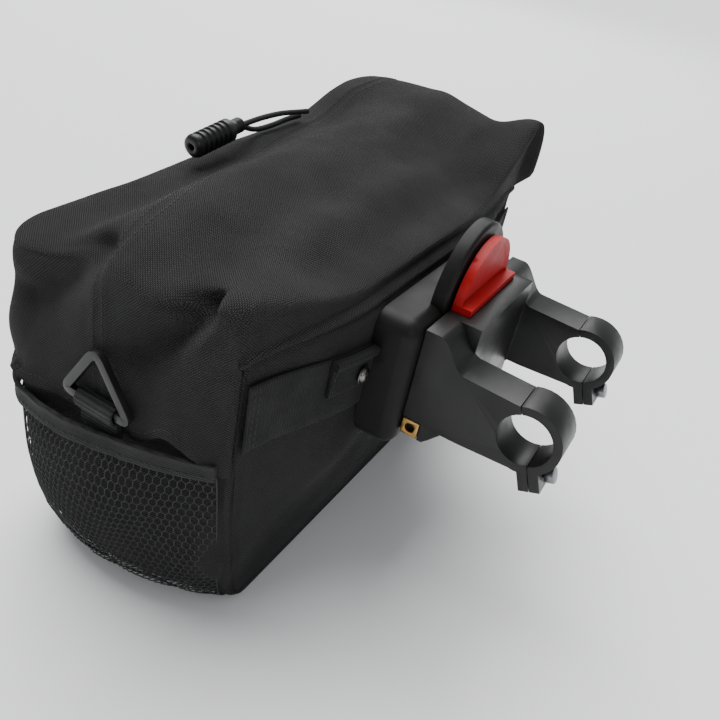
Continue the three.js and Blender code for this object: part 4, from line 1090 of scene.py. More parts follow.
def make_lid():
    """The lid's top and skirts, and a strip rolled under its back edge. Returns its surface and seam."""
    own = bag_sizes()
    places = lid_columns()
    steps = np.linspace(1, 0, 58)[1:]
    reach = 1 - steps ** 3.0
    top = lid_top(reach[:, None], places[None, :])
    wanted = (places >= SKIRT_FROM) & (places <= SKIRT_TO)
    skirt_places = places[wanted]
    shares = np.linspace(0, 1, 34)[1:]
    skirt = lid_skirt(shares[:, None], skirt_places[None, :])
    held = eased(0, 0.5, np.minimum(places - SKIRT_FROM, SKIRT_TO - places))
    loose = 1 - (1 - held[None, :]) * reach[:, None] ** 24
    top = top + fold_shift(top) * loose[..., None]
    skirt = skirt + fold_shift(skirt) * held[wanted][None, :, None]
    behind = np.concatenate([np.flatnonzero(places >= skirt_places[-1]),
                             np.flatnonzero(places <= skirt_places[0])])
    rolled = np.array([swollen(places[behind], SEAM_HEIGHT - drop, LID_OUT, out)
                       for drop, out in ((0.0012, 0.0009), (0.0026, 0.0008), (0.0038, 0.0001))])
    columns = len(places)
    count = len(skirt_places)
    first = int(np.argmax(wanted))
    pole = np.array([[0, MIDDLE_Y, SEAM_HEIGHT + crown_height(np.array(0.0), np.array(MIDDLE_Y))]])
    faces = grid_faces(len(top), columns, True)
    start = columns * len(top)
    faces += [(c, start + len(skirt) * count, (c + 1) % columns) for c in range(columns)]
    seam_row = columns * (len(top) - 1) + first
    faces += [(seam_row + c, seam_row + c + 1, start + c + 1, start + c) for c in range(count - 1)]
    faces += grid_faces(len(skirt), count, False, start)
    back_start = start + len(skirt) * count + 1
    last_row = columns * (len(top) - 1)
    faces += [(last_row + behind[c], last_row + behind[c + 1], back_start + c + 1, back_start + c)
              for c in range(len(behind) - 1)]
    faces += grid_faces(len(rolled), len(behind), False, back_start)
    both = np.concatenate([top[-1:, first:first + count], skirt])
    points = np.concatenate([top.reshape(-1, 3), skirt.reshape(-1, 3), pole, rolled.reshape(-1, 3)])
    normal = np.concatenate([
        grid_normals(top, True).reshape(-1, 3), grid_normals(both, False)[1:].reshape(-1, 3), [[0, 0, 1]],
        np.tile([0.0, -1.0, 0.0], (rolled.size // 3, 1)),
    ])
    seam = lid_seam_path(BVHTree.FromPolygons([tuple(p) for p in points], faces))
    lift = own.rumple * waves(points, 0.045, 3.1) + 0.5 * own.rumple * waves(points, 0.018, 7.7, (1.5, 1, 1))
    lift += 0.0022 * waves(points, 0.085, 5.3)
    lift *= eased(SEAM_HEIGHT - END_SKIRT, SEAM_HEIGHT - 0.03, points[:, 2])
    lift += crease_height(points)
    in_back = eased(PANEL_Y + 0.02, PANEL_Y + 0.004, points[:, 1])
    lift *= 1 - in_back * (1 - eased(SEAM_HEIGHT, SEAM_HEIGHT + 0.014, points[:, 2]))
    away = path_distance(points, seam)
    lift += 0.0004 * (1 - eased(SEAM_HALF, SEAM_HALF + 0.0016, away)) - 0.0005 * np.exp(-(away / 0.0011) ** 2)
    points = points + normal * lift[:, None]
    points[:, 2] += end_lift(points)
    piece = new_piece("lid_cloth", points, faces, cloth_material())
    face_out(piece)
    cloth_map(piece)
    tree = sheet_tree(piece)
    finish_with(piece, "SOLIDIFY", thickness=LID_CLOTH, offset=-1, use_even_offset=False)
    place_piece(piece, "bag", ["lid"])
    return tree, seam


def make_lid_stitches(tree, seam):
    rows = Stitching()
    for aside in (-SEAM_ROW, SEAM_ROW):
        rows.row(seam, tree, aside)
    hem_places = np.linspace(SKIRT_FROM + 0.6, SKIRT_TO - 0.6, 400)
    hem = lid_skirt(np.full(400, 1.0), hem_places)
    hem[:, 2] += HEM_STITCHES_UP
    rows.row(hem, tree)
    rows.make("lid_stitches")


def body_rim(place):
    """Height of the body's rim: the seam behind, and a little over the lid's hem elsewhere."""
    from_corner = np.minimum(place - SKIRT_FROM + 0.1, SKIRT_TO + 0.1 - place)
    under = np.minimum(hem_height(place) + SKIRT_OVERLAP, PANEL_TOP)
    return PANEL_TOP + (under - PANEL_TOP) * eased(0, 0.08, from_corner)


def make_body():
    """The bag's walls and base in one sheet, with the pulls and the sewn edges of its back panel."""
    own = bag_sizes()
    places = columns_round(90, 8, 56, 22, 72)
    shares = np.concatenate([np.linspace(0, 0.08, 14)[:-1], np.linspace(0.08, 1, 62)])
    rim = body_rim(places)
    heights = shares[:, None] * rim[None, :]
    walls = swollen(places[None, :], heights)
    base = []
    for reach in (0.04, 0.25, 0.5, 0.75, 0.92, 0.985):
        ring = walls[0] * [reach, reach, 1]
        ring[:, 1] += MIDDLE_Y * (1 - reach)
        base.append(ring)
    grid = np.concatenate([np.array(base), walls])
    columns = len(places)
    normal = grid_normals(grid, True)
    normal[:len(base) + 1] = 0
    lift = own.rumple * waves(grid, 0.05, 11.3, (1.4, 1, 0.7)) + 0.0016 * waves(grid, 0.09, 2.9, (2, 1, 0.8))
    free = eased(0.004, 0.02, grid[..., 2]) * eased(0, 0.012, rim[None, :] - grid[..., 2])
    pocketed = (places > 1.9) & (places < 7.1) & (np.abs(places - FRONT_MIDDLE) > 0.45)
    lift *= free * np.where(pocketed[None, :] & (grid[..., 2] < 0.1), 0.15, 1)
    corner = np.minimum(np.abs(places - 1.12), np.abs(places - 7.88))[None, :]
    lift -= 0.0010 * np.exp(-(corner / 0.16) ** 2) * eased(0.002, 0.01, grid[..., 2])
    behind = eased(PANEL_Y + 0.02, PANEL_Y + 0.004, grid[..., 1])
    lift -= 0.0016 * behind * eased(PANEL_TOP - 0.007, PANEL_TOP - 0.003, grid[..., 2])
    lift -= 0.0009 * np.exp(-((grid[..., 2] - 0.0075) / 0.0012) ** 2) * behind
    grid = grid + normal * lift[..., None]
    grid[..., 1] -= 0.0018 * behind * free * diagonal_band(grid)
    middle = np.array([[0, MIDDLE_Y, 0]])
    faces = grid_faces(len(grid), columns, True)
    faces += [(c, (c + 1) % columns, len(grid) * columns) for c in range(columns)]
    piece = new_piece("bag_cloth", np.concatenate([grid.reshape(-1, 3), middle]), faces, cloth_material())
    face_out(piece)
    cloth_map(piece)
    finish_with(piece, "SOLIDIFY", thickness=BODY_CLOTH, offset=-1, use_even_offset=False)
    place_piece(piece, "bag", ["bag_body"])


def diagonal_band(points):
    """The back panel's soft pull from the strap down to the base, on both sides of the housing."""
    x = np.abs(points[..., 0])
    over = points[..., 2] - 0.098 + 0.55 * (x - HOUSING_HALF)
    return np.exp(-((over + 0.02) / 0.012) ** 2) - 0.6 * np.exp(-((over + 0.05) / 0.014) ** 2)


def mouth_height(along):
    """Height of a pocket's mouth at a share of its length."""
    return SEAM_HEIGHT - POCKET_DROP * smooth(POCKET_MOUTH, "drop", np.clip(along, 0, 1))


def pocket_out(along, up):
    """How far a pocket's net stands off the bag's outline."""
    raised = np.clip(up, 0, None)
    bow = pocket_bow(np.clip(along, 0, 1), raised)
    return NET_GAP + (LID_WALL + 2 * CLOTH_GAP) * raised ** 2 + POCKET_BULGE * np.where(up < 0, 0, bow)


def pocket_place(side, along):
    """Place round the bag's outline at a share of a pocket's length."""
    place = np.where(along < END_SHARE, 2 + along / END_SHARE, 3 + (along - END_SHARE) / (1 - END_SHARE))
    return place if side > 0 else 2 * FRONT_MIDDLE - place


def net_point(side, along, up, out=0.0):
    """Up is 0 at the pocket's foot and 1 under its binding, and reaches -0.1 at its floor."""
    top = mouth_height(along) - BINDING_HEIGHT + 0.002
    height = np.maximum(POCKET_FOOT + (top - POCKET_FOOT) * up, POCKET_FLOOR)
    beyond = pocket_out(along, np.maximum(up, 0.0)) + out - NET_GAP
    return outline(pocket_place(side, along), height, NET_GAP + beyond * eased(-0.1, 0.03, up), 0)


def honeycomb(cell):
    """Points and faces of a flat net, cut to its length and height."""
    rise = cell * math.sqrt(3) / 2
    known = {}
    flat = []
    faces = []

    def vertex(u, v):
        u = min(max(u, 0.0), NET_LENGTH)
        v = min(max(v, 0.0), NET_HEIGHT)
        key = (round(u, 6), round(v, 6))
        if key not in known:
            known[key] = len(flat)
            flat.append((u, v))
        return known[key]

    for row in range(int(NET_HEIGHT / rise) + 2):
        shift = cell / 2 if row % 2 else 0
        for column in range(int(NET_LENGTH / cell) + 2):
            u, v = column * cell + shift, row * rise
            corners = []
            for k in range(6):
                angle = math.radians(60 * k + 30)
                corner = vertex(u + cell / math.sqrt(3) * math.cos(angle),
                                v + cell / math.sqrt(3) * math.sin(angle))
                if corner not in corners:
                    corners.append(corner)
            if len(corners) > 3:
                faces.append(corners)
    return np.array(flat), faces


def net_mesh(side):
    """The net round one end: it sags into ripples near its floor and lies snug at its front corner."""
    flat, faces = honeycomb(bag_sizes().net_cell)
    u, v = flat[:, 0] / NET_LENGTH, flat[:, 1] / NET_HEIGHT
    at = np.stack([flat[:, 0], flat[:, 1], np.full(len(flat), 0.3 * side)], -1)
    u = np.clip(u + 0.006 * waves(at, 0.022, 4.4) * np.sin(np.pi * u), 0, 1)
    sway = 0.022 * np.sin(2 * np.pi * (2.1 * u + 1.3 * v)) * np.sin(np.pi * v)
    drop = np.clip(v + sway, 0, 1) ** (1.35 + 0.8 * u)
    up = -0.09 + 1.09 * np.clip(drop + 0.012 * waves(at, 0.03, 9.2) * np.sin(np.pi * v), 0, 1)
    low = 1 - eased(0.1, 0.62, v)
    ripple = np.sin(2 * np.pi * (flat[:, 1] / NET_RIPPLE + 1.9 * waves(at, 0.05, 1.7)))
    out = NET_SAG * low * (1 + ripple) * eased(0, 0.08, v) + NET_SLACK * (1 + waves(at, 0.02, 6.1))
    out = out - NET_SNUG * eased(0.66, 0.85, u) * eased(0.3, 0.5, up)
    along = POCKET_FROM + (POCKET_TO - POCKET_FROM) * u
    return net_point(side, along, up, out * np.sin(np.pi * u) ** 0.5), faces


def make_net(label, side):
    own = bag_sizes()
    points, faces = net_mesh(side)
    piece = new_piece("net_" + label, points, faces, thread_material())
    face_out(piece)
    finish_with(piece, "WIREFRAME", thickness=own.net_thread, offset=0, use_even_offset=False,
                use_relative_offset=False, use_boundary=True)
    for face in piece.data.polygons:
        face.use_smooth = True
    place_piece(piece, "bag", ["mesh_pocket_" + label])
    return piece


def strip(name, outer, inner, flat, material):
    """A closed strip of cloth from two grids of points, which lie flat as the map says."""
    rings = np.concatenate([outer, inner[::-1]], 0)
    around, along = rings.shape[:2]
    faces = []
    for r in range(around):
        for c in range(along - 1):
            s = (r + 1) % around
            faces.append((r * along + c, r * along + c + 1, s * along + c + 1, s * along + c))
    faces.append(tuple(r * along for r in range(around)))
    faces.append(tuple(r * along + along - 1 for r in reversed(range(around))))
    piece = new_piece(name, rings, faces, material)
    recalculate(piece)
    layer = piece.data.uv_layers.new(name="cloth")
    flat = np.concatenate([flat, flat[::-1]], 0).reshape(-1, 2)
    for loop in piece.data.loops:
        layer.data[loop.index].uv = flat[loop.vertex_index]
    shade(piece, 50)
    return piece


def make_binding(label, side, rows):
    along = np.linspace(POCKET_FROM, POCKET_TO, 120)
    levels = np.array(BINDING_LEVELS)
    wall = BINDING_WALL * np.array(BINDING_PROFILE)
    mouth = mouth_height(along)[None, :]
    height = mouth - BINDING_HEIGHT * (1 - levels[:, None])
    sway = 0.0006 * waves(np.stack([along, along * 0, along * 0], -1), 0.06, 8.8 * side)[None, :]
    place = pocket_place(side, along)[None, :]
    base = pocket_out(along, np.ones(len(along)))[None, :]
    pull = 0.0016 * (1 - levels[:, None]) * np.sin(np.pi * along)[None, :] ** 0.7
    outer = outline(place, height + sway, base + pull + wall[:, None], 0)
    inner = outline(place, height + sway, base + pull - 0.00005, 0)
    run = np.broadcast_to(along[None, :] * NET_LENGTH, height.shape)
    flat = np.stack([height, run], -1)
    piece = strip("binding_" + label, outer, inner, flat, webbing_material("elastic_binding", 0.0011, 1.7))
    place_piece(piece, "bag", ["pocket_binding_" + label])
    rows.row(outer[3][3:-3], sheet_tree(piece))
    return piece


def strap_centre(x):
    """Height of a back strap's middle, which drops towards the housing."""
    bare = BAG_WIDTH / 2 - HOUSING_HALF
    outward = np.clip((np.abs(x) - HOUSING_HALF) / bare, 0, 1)
    return SEAM_HEIGHT - STRAP_DROP - STRAP_HEIGHT / 2 - STRAP_SLOPE * (1 - outward)


def panel_place(x, height):
    """Point of the back panel's plain surface at a place across and a height."""
    half = smooth(SECTIONS, "half", height / SEAM_HEIGHT) * BAG_WIDTH / 2 - SEAM_CORNER
    share = np.clip((x + half) / (2 * half), 0.0001, 0.9999)
    return outline(share, height)


def panel_strip(name, side, start, end, centre_up, height, layer, wall, material, fold=0.0):
    """A strip of webbing that lies a layer above the back panel, with a raised fold along its top edge."""
    steps = 72
    x = side * np.linspace(start, end, steps)[None, :]
    ups = np.array([-1, -0.985, -0.93, -0.7, -0.35, 0, 0.35, 0.48, 0.58, 0.72, 0.86, 0.94, 0.985, 1])[:, None]
    fat = wall * np.array([0.3, 0.7, 1, 1, 1, 1, 1, 1, 1, 1, 1, 1, 0.7, 0.3])[:, None]
    middle = centre_up(x)
    z = middle + ups * height / 2
    points = panel_place(np.broadcast_to(x, z.shape), z)
    points[..., 0] = x
    soft = np.stack([x + 0 * z, 0 * z, z], -1)
    raised = layer + 0.0005 + 0.0004 * waves(soft, 0.03, 1.9)
    fat = fat + fold * eased(0.45, 0.62, ups) * (1 - eased(0.93, 1.02, ups))
    outer = points.copy()
    outer[..., 1] -= raised + fat
    inner = points.copy()
    inner[..., 1] -= raised
    flat = np.stack([x + 0 * z, z - middle], -1)
    return strip(name, outer, inner, flat, material)


def make_back_straps():
    rows = Stitching()
    gap = 0.0004
    for label, side in (("left", -1), ("right", 1)):
        start = HOUSING_HALF + gap
        end = max(abs(corner.x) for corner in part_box("back_strap_" + label)) + 0.003
        piece = panel_strip("strap_" + label, side, start, end, strap_centre, STRAP_HEIGHT, 0.0003,
                            STRAP_CLOTH, webbing_material())
        place_piece(piece, "bag", ["back_strap_" + label])
        tree = sheet_tree(piece)
        for inset in (0.0025, 0.0055):
            x = side * (end - inset)
            z = strap_centre(x) + np.linspace(-0.46, 0.46, 12) * STRAP_HEIGHT
            line = panel_place(np.full(12, x), z)
            line[:, 1] -= 0.002
            rows.row(line, tree)
        folded = panel_strip("strap_end_cloth_" + label, side, start, start + STRAP_END,
                             lambda x: strap_centre(x) + (STRAP_HEIGHT - STRAP_END_HEIGHT) / 2,
                             STRAP_END_HEIGHT, STRAP_END_LAYER, STRAP_END_CLOTH,
                             webbing_material("folded_webbing", 0.0015, 0.9), STRAP_END_FOLD)
        place_piece(folded, "bag", ["strap_end_" + label])
        tree = sheet_tree(folded)
        x = side * np.linspace(start + 0.001, start + STRAP_END - 0.001, 20)
        for down in (0.002, 0.0045):
            line = panel_place(x, strap_centre(x) + STRAP_HEIGHT / 2 - down)
            line[:, 1] -= 0.005
            rows.row(line, tree)
        edge = side * (start + STRAP_END - 0.002)
        z = strap_centre(edge) + STRAP_HEIGHT / 2 - np.linspace(0.002, STRAP_END_HEIGHT - 0.002, 12)
        line = panel_place(np.full(12, edge), z)
        line[:, 1] -= 0.005
        rows.row(line, tree)
    rows.make("strap_stitches")


def spun(name, profile, axis, centre, material, sides=48):
    """Turns a profile of (radius, height) points round an axis with the spin tool."""
    axis = Vector(axis).normalized()
    side = axis.orthogonal().normalized()
    centre = Vector(centre)
    points = [centre + side * r + axis * h for r, h in profile]
    mesh = bpy.data.meshes.new(name)
    mesh.from_pydata(points, [(i, i + 1) for i in range(len(points) - 1)], [])
    piece = bpy.data.objects.new(name, mesh)
    bpy.context.scene.collection.objects.link(piece)
    activate(piece)
    bpy.ops.object.mode_set(mode="EDIT")
    bpy.ops.mesh.select_all(action="SELECT")
    bpy.ops.mesh.spin(steps=sides, angle=2 * math.pi, center=centre, axis=axis, use_auto_merge=True)
    bpy.ops.mesh.select_all(action="SELECT")
    bpy.ops.mesh.remove_doubles(threshold=1e-6)
    bpy.ops.mesh.normals_make_consistent(inside=False)
    bpy.ops.object.mode_set(mode="OBJECT")
    settle(piece, name, material)
    shade(piece, 45)
    return piece


def rounded_profile(radius, height, lip, steps=6):
    """A disc with a rounded top edge, from the axis at the bottom to the axis at the top."""
    profile = [(0, 0), (radius - 0.2 * lip, 0), (radius, 0.2 * lip)]
    for i in range(1, steps + 1):
        angle = math.pi / 2 * i / steps
        profile.append((radius - lip * (1 - math.cos(angle)), height - lip * (1 - math.sin(angle))))
    profile.append((0, height))
    return profile


def make_rivets():
    nickel = metal_material("nickel_plate", (0.17, 0.165, 0.15, 1), (0.3, 0.29, 0.27, 1), 0.3)
    for label in ("left", "right"):
        low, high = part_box("rivet_" + label)
        centre = (low + high) / 2
        radius = (high.x - low.x) / 2
        rise = high.y - low.y
        flange = 0.0006
        profile = [(0, 0), (radius - 0.0002, 0), (radius, 0.0002), (radius, flange - 0.0002),
                   (radius - 0.0003, flange)]
        for i in range(0, 9):
            angle = math.pi / 2 * i / 8
            profile.append(((radius - 0.0007) * math.cos(angle) ** 0.85,
                            flange + (rise - flange) * math.sin(angle)))
        piece = spun("rivet_cap_" + label, profile, (0, -1, 0), (centre.x, high.y, centre.z), nickel)
        place_piece(piece, "bag", ["rivet_" + label])


def ring_plane():
    low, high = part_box("ring_right")
    return (low.x + high.x) / 2, (low.y + high.y) / 2, low.z


def make_webbing_tabs(rows):
    """Webbing folded round the ring's pin, with its two layers sewn together below."""
    x_plane, y_middle, z_base = ring_plane()
    pin_z = z_base + RING_BAR / 2
    radius = RING_PIN + RING_PLAY + WEBBING_LAYER / 2
    reach = RING_PIN + RING_PLAY + WEBBING_LAYER
    inner_u = -reach + WEBBING_LAYER / 2
    bottom = pin_z - RING_PIN - RING_PLAY - WEBBING_TAIL
    path = [(inner_u, bottom + share * (pin_z - bottom)) for share in np.linspace(0, 0.97, 16)]
    for degrees in range(180, -1, -12):
        angle = math.radians(degrees)
        path.append((radius * math.cos(angle), pin_z + radius * math.sin(angle)))
    path += [(radius, pin_z - 0.0012), (radius - 0.0004, pin_z - 0.0028), (radius - 0.0012, pin_z - 0.0044)]
    path += [(inner_u + WEBBING_LAYER + 0.0001, z) for z in np.linspace(pin_z - 0.0062, bottom + 0.0004, 12)]
    path = even_path([(u, 0, z) for u, z in path], 0.0005)[:, [0, 2]]
    way = np.gradient(path, axis=0)
    way /= np.linalg.norm(way, axis=1, keepdims=True)
    normal = np.stack([-way[:, 1], way[:, 0]], -1)
    run = np.arange(len(path)) * 0.0005
    rib = 0.00016 * np.sin(2 * np.pi * run / 0.0019)
    widths = np.array([-1, -0.97, -0.85, -0.5, 0, 0.5, 0.85, 0.97, 1]) * WEBBING_WIDTH / 2
    fat = WEBBING_LAYER / 2 * np.array([0.4, 0.85, 1, 1, 1, 1, 1, 0.85, 0.4])
    for label, side in (("left", -1), ("right", 1)):
        sheets = []
        for layer in (1, -1):
            thick = fat[:, None] * layer + (rib if layer > 0 else 0)
            spot = path[None, :, :] + normal[None, :, :] * thick[..., None]
            y = np.broadcast_to(y_middle + widths[:, None], spot.shape[:2])
            sheets.append(np.stack([side * (x_plane + spot[..., 0]), y, spot[..., 1]], -1))
        flat = np.stack([np.broadcast_to(run[None, :], sheets[0].shape[:2]),
                         np.broadcast_to(widths[:, None], sheets[0].shape[:2])], -1)
        piece = strip("tab_" + label, *sheets, flat, webbing_material("tab_webbing", 0.0019, 1.9))
        place_piece(piece, "bag", ["webbing_tab_" + label])
        tree = sheet_tree(piece)
        for z in (pin_z - 0.0075, bottom + 0.0018):
            y = np.linspace(y_middle - 0.0085, y_middle + 0.0085, 8)
            line = np.stack([np.full(8, side * (x_plane + reach)), y, np.full(8, z)], -1)
            rows.row(line, tree)


def make_rings():
    """Flat triangular rings: a rounded triangle, inset and pierced, on a round pin."""
    material = plastic_material("ring_plastic", 0.36, 1800.0, 0.00003, shine=0.3)
    for label, side in (("left", -1), ("right", 1)):
        x_plane, y_middle, z_base = ring_plane()
        centre = Vector((side * x_plane, y_middle, z_base))
        deselect()
        bpy.ops.mesh.primitive_circle_add(vertices=3, radius=0.01, fill_type="NGON")
        piece = bpy.context.object
        corners = ((-RING_WIDTH / 2 - 0.0045, 0), (RING_WIDTH / 2 + 0.0045, 0), (0, RING_HEIGHT + 0.0052))
        for vertex, (y, z) in zip(piece.data.vertices, corners):
            vertex.co = (centre.x - RING_WALL / 2, centre.y + y, centre.z + z)
        settle(piece, "ring_plate_" + label, material)
        bpy.ops.object.mode_set(mode="EDIT")
        bpy.ops.mesh.select_all(action="SELECT")
        bpy.ops.mesh.bevel(offset=RING_ROUNDING, segments=7, affect="VERTICES")
        bpy.ops.mesh.select_mode(type="FACE")
        bpy.ops.mesh.select_all(action="SELECT")
        bpy.ops.mesh.inset(thickness=RING_BAR)
        bpy.ops.mesh.delete(type="FACE")
        bpy.ops.mesh.select_all(action="SELECT")
        bpy.ops.mesh.extrude_region_move(TRANSFORM_OT_translate={"value": (RING_WALL, 0, 0)})
        bpy.ops.mesh.select_all(action="SELECT")
        bpy.ops.mesh.normals_make_consistent(inside=False)
        bpy.ops.object.mode_set(mode="OBJECT")
        room = WEBBING_WIDTH / 2 + RING_PLAY
        slot = box("cut", (centre.x - 0.01, centre.y - room, centre.z - 0.01),
                   (centre.x + 0.01, centre.y + room, centre.z + RING_BAR + RING_PLAY), material)
        combine(piece, slot, "DIFFERENCE")
        pin = cylinder("pin", RING_PIN, 2 * room + 0.002, centre + Vector((0, 0, RING_BAR / 2)),
                       (math.pi / 2, 0, 0), material, 20)
        combine(piece, pin, "UNION")
        round_edges(piece, 0.0008, 3, 35)
        place_piece(piece, "ring_" + label, ["ring_" + label])


def make_housing():
    """The bag's half of the quick release: a thick plate with large rounded edges and a T slot."""
    material = plastic_material()
    low = HOUSING_LOW
    high = Vector((HOUSING_HIGH.x, HOUSING_HIGH.y, HOUSING_TOP))
    piece = box("housing_plate", low, high, material)
    bevel_edges(piece, lambda a, b: abs(a.y - b.y) > 0.001, PLATE_CORNER, 8)
    bevel_edges(piece, lambda a, b: max(a.y, b.y) < low.y + 0.001, PLATE_EDGE, 9)
    dome = cylinder("dome", DOME_RADIUS, DOME_WALL, (0, low.y + 0.0005 + DOME_WALL / 2, DECK),
                    (math.pi / 2, 0, 0), material, 96)
    bevel_edges(dome, lambda a, b: max(a.y, b.y) < low.y + 0.001, 0.002, 4)
    under = box("under", (-0.05, low.y - 0.01, DECK - 0.05), (0.05, high.y + 0.01, DECK - 0.006), material)
    combine(dome, under, "DIFFERENCE")
    combine(piece, dome, "UNION")
    slot_top = high.z - 0.0095
    neck = box("neck", (-SLOT_NECK, low.y - 0.01, low.z - 0.01), (SLOT_NECK, low.y + 0.0035, slot_top),
               material)
    combine(piece, neck, "DIFFERENCE")
    flange = box("flange", (-SLOT_FLANGE, low.y + 0.0021, low.z - 0.01),
                 (SLOT_FLANGE, low.y + 0.0066, slot_top), material)
    combine(piece, flange, "DIFFERENCE")
    shade(piece, 35)
    place_piece(piece, "bag", ["housing"])


def bracket_material():
    return plastic_material("bracket_plastic", 0.38, 1900.0, 0.00007, shine=0.3)


def make_bracket():
    bracket = copy_of("bracket", "bracket_body", bracket_material(), bag_sizes().edge, 3)
    place_piece(bracket, "bracket", ["bracket"])


def make_clamps():
    steel = metal_material("zinc_plate", (0.16, 0.16, 0.17, 1), (0.3, 0.3, 0.31, 1), 0.36)
    brass = metal_material("brass_nut", (0.36, 0.21, 0.065, 1), (0.6, 0.4, 0.16, 1), 0.36)
    for label in ("left", "right"):
        cap = copy_of("clamp_cap_" + label, "cap_" + label, bracket_material(), bag_sizes().edge, 3)
        place_piece(cap, "bracket", ["clamp_cap_" + label])
        screw = copy_of("clamp_screw_" + label, "screw_" + label, steel, 0.0003)
        place_piece(screw, "bracket", ["clamp_screw_" + label])
        nut = copy_of("square_nut_" + label, "nut_" + label, brass, 0.00035)
        place_piece(nut, "bracket", ["square_nut_" + label])


def make_button():
    """A red half-round tab with a raised rim, a base flange towards the rider and a stem."""
    low, high = BUTTON_LOW, BUTTON_HIGH
    material = red_material()
    radius = (high.x - low.x) / 2
    piece = cylinder("button_tab", radius, TAB_WALL, (0, high.y - TAB_WALL / 2, DECK), (math.pi / 2, 0, 0),
                     material, 96)
    select_faces(piece, lambda face: face.normal.y < -0.9)
    bpy.ops.mesh.inset(thickness=TAB_RIM)
    bpy.ops.transform.translate(value=(0, TAB_DISH, 0))
    bpy.ops.mesh.inset(thickness=0.0012)
    bpy.ops.transform.translate(value=(0, 0.0002, 0))
    bpy.ops.object.mode_set(mode="OBJECT")
    under = box("under", (-0.05, low.y - 0.05, DECK - 0.06), (0.05, high.y + 0.05, DECK), material)
    combine(piece, under, "DIFFERENCE")
    flange = box("flange", (-radius, low.y, DECK), (radius, high.y - 0.0002, DECK + TAB_FLANGE), material)
    combine(piece, flange, "UNION")
    stem = box("stem", (-STEM_HALF, high.y - 0.006, low.z), (STEM_HALF, high.y - 0.001, DECK + 0.001),
               material)
    combine(piece, stem, "UNION")
    round_edges(piece, 0.0008, 3, 38)
    place_piece(piece, "release_button", ["release_button"])


def lock_axis():
    return Vector((math.cos(LOCK_TURN), 0, math.sin(LOCK_TURN)))


def lock_place(along):
    """A point on the cord lock's axis, at a distance from its middle."""
    return Vector(LOCK_CENTRE) + Vector((0, PANEL_Y, 0)) + lock_axis() * along


def make_cord_lock():
    """The ribbed barrel and its plunger, both spun round the lock's axis."""
    axis = lock_axis()
    material = plastic_material("lock_plastic", 0.36, 1600.0, 0.00004, shine=0.3)
    pitch = (LOCK_LENGTH - 0.007) / LOCK_RIBS
    profile = [(0, 0.004), (0.0016, 0.004), (0.0016, 0.0004), (0.0022, 0), (LOCK_RADIUS * 0.68, 0.0001),
               (LOCK_RADIUS * 0.9, 0.0009), (LOCK_RADIUS, 0.0026)]
    for i in range(LOCK_RIBS):
        at = 0.0035 + i * pitch
        profile += [(LOCK_RADIUS - cut, at + share * pitch) for share, cut in RIB_PROFILE]
    well = PLUNGER_RADIUS + 0.0004
    profile += [(LOCK_RADIUS, LOCK_LENGTH - 0.0008), (LOCK_RADIUS - 0.0006, LOCK_LENGTH), (well, LOCK_LENGTH),
                (well, LOCK_LENGTH - PLUNGER_DEPTH), (0, LOCK_LENGTH - PLUNGER_DEPTH)]
    barrel = spun("lock_barrel", profile, axis, lock_place(-LOCK_LENGTH / 2), material)
    place_piece(barrel, "bag", ["cord_lock_body"])
    reach = 1.55 * PLUNGER_DEPTH
    start = LOCK_LENGTH / 2 - PLUNGER_DEPTH + 0.0046
    stem = [(0, 0), (PLUNGER_RADIUS - 0.0004, 0), (PLUNGER_RADIUS, 0.0004)]
    for share in (0.62, 0.72, 0.82):
        stem += [(PLUNGER_RADIUS, reach * share - 0.0004), (PLUNGER_RADIUS - 0.0004, reach * share)]
        stem += [(PLUNGER_RADIUS, reach * share + 0.0004)]
    stem += [(PLUNGER_RADIUS, reach - 0.0014), (PLUNGER_RADIUS - 0.0004, reach - 0.0006),
             (PLUNGER_RADIUS - 0.0014, reach), (0, reach)]
    plunger = spun("lock_button", stem, axis, lock_place(start), material)
    place_piece(plunger, "cord_lock_plunger", ["cord_lock_plunger"])
    return barrel, plunger


def curved(points, steps):
    """Points on a smooth curve through the given ones."""
    points = np.array(points)
    ends = np.concatenate([[2 * points[0] - points[1]], points, [2 * points[-1] - points[-2]]])
    made = []
    for t in np.linspace(0, len(points) - 1.000001, steps):
        i = int(t)
        u = t - i
        a, b, c, d = ends[i:i + 4]
        made.append(0.5 * (2 * b + (c - a) * u + (2 * a - 5 * b + 4 * c - d) * u ** 2
                           + (3 * b - a - 3 * c + d) * u ** 3))
    return np.array(made)


def make_cord(name, node, route):
    """One visible strand of the drawcord, from its fitting to the lid's hem."""
    points = curved(np.array(route) + (0, PANEL_Y, 0), 22)
    data = bpy.data.curves.new(name, "CURVE")
    data.dimensions = "3D"
    data.bevel_depth = CORD_RADIUS
    data.bevel_resolution = 4
    data.use_fill_caps = True
    spline = data.splines.new("POLY")
    spline.points.add(len(points) - 1)
    for spot, point in zip(spline.points, points):
        spot.co = (*point, 1)
    piece = bpy.data.objects.new(name, data)
    bpy.context.scene.collection.objects.link(piece)
    data.materials.append(cord_material())
    place_piece(piece, "bag", [node])


class BAG_OT_camera(bpy.types.Operator):
    """Adds the photograph's camera"""
    bl_idname = "bag.camera"
    bl_label = "Camera"

    def execute(self, context):
        deselect()
        bpy.ops.object.camera_add(location=CAMERA_PLACE)
        camera = context.object
        right = Vector(CAMERA_RIGHT).normalized()
        up = Vector(CAMERA_UP)
        up = (up - right * up.dot(right)).normalized()
        turn = Matrix((right, up, right.cross(up))).transposed()
        camera.rotation_euler = turn.to_euler()
        camera.data.lens = CAMERA_LENS
        camera.data.sensor_width = CAMERA_SENSOR
        camera.data.clip_start = 0.01
        context.scene.camera = camera
        return {"FINISHED"}


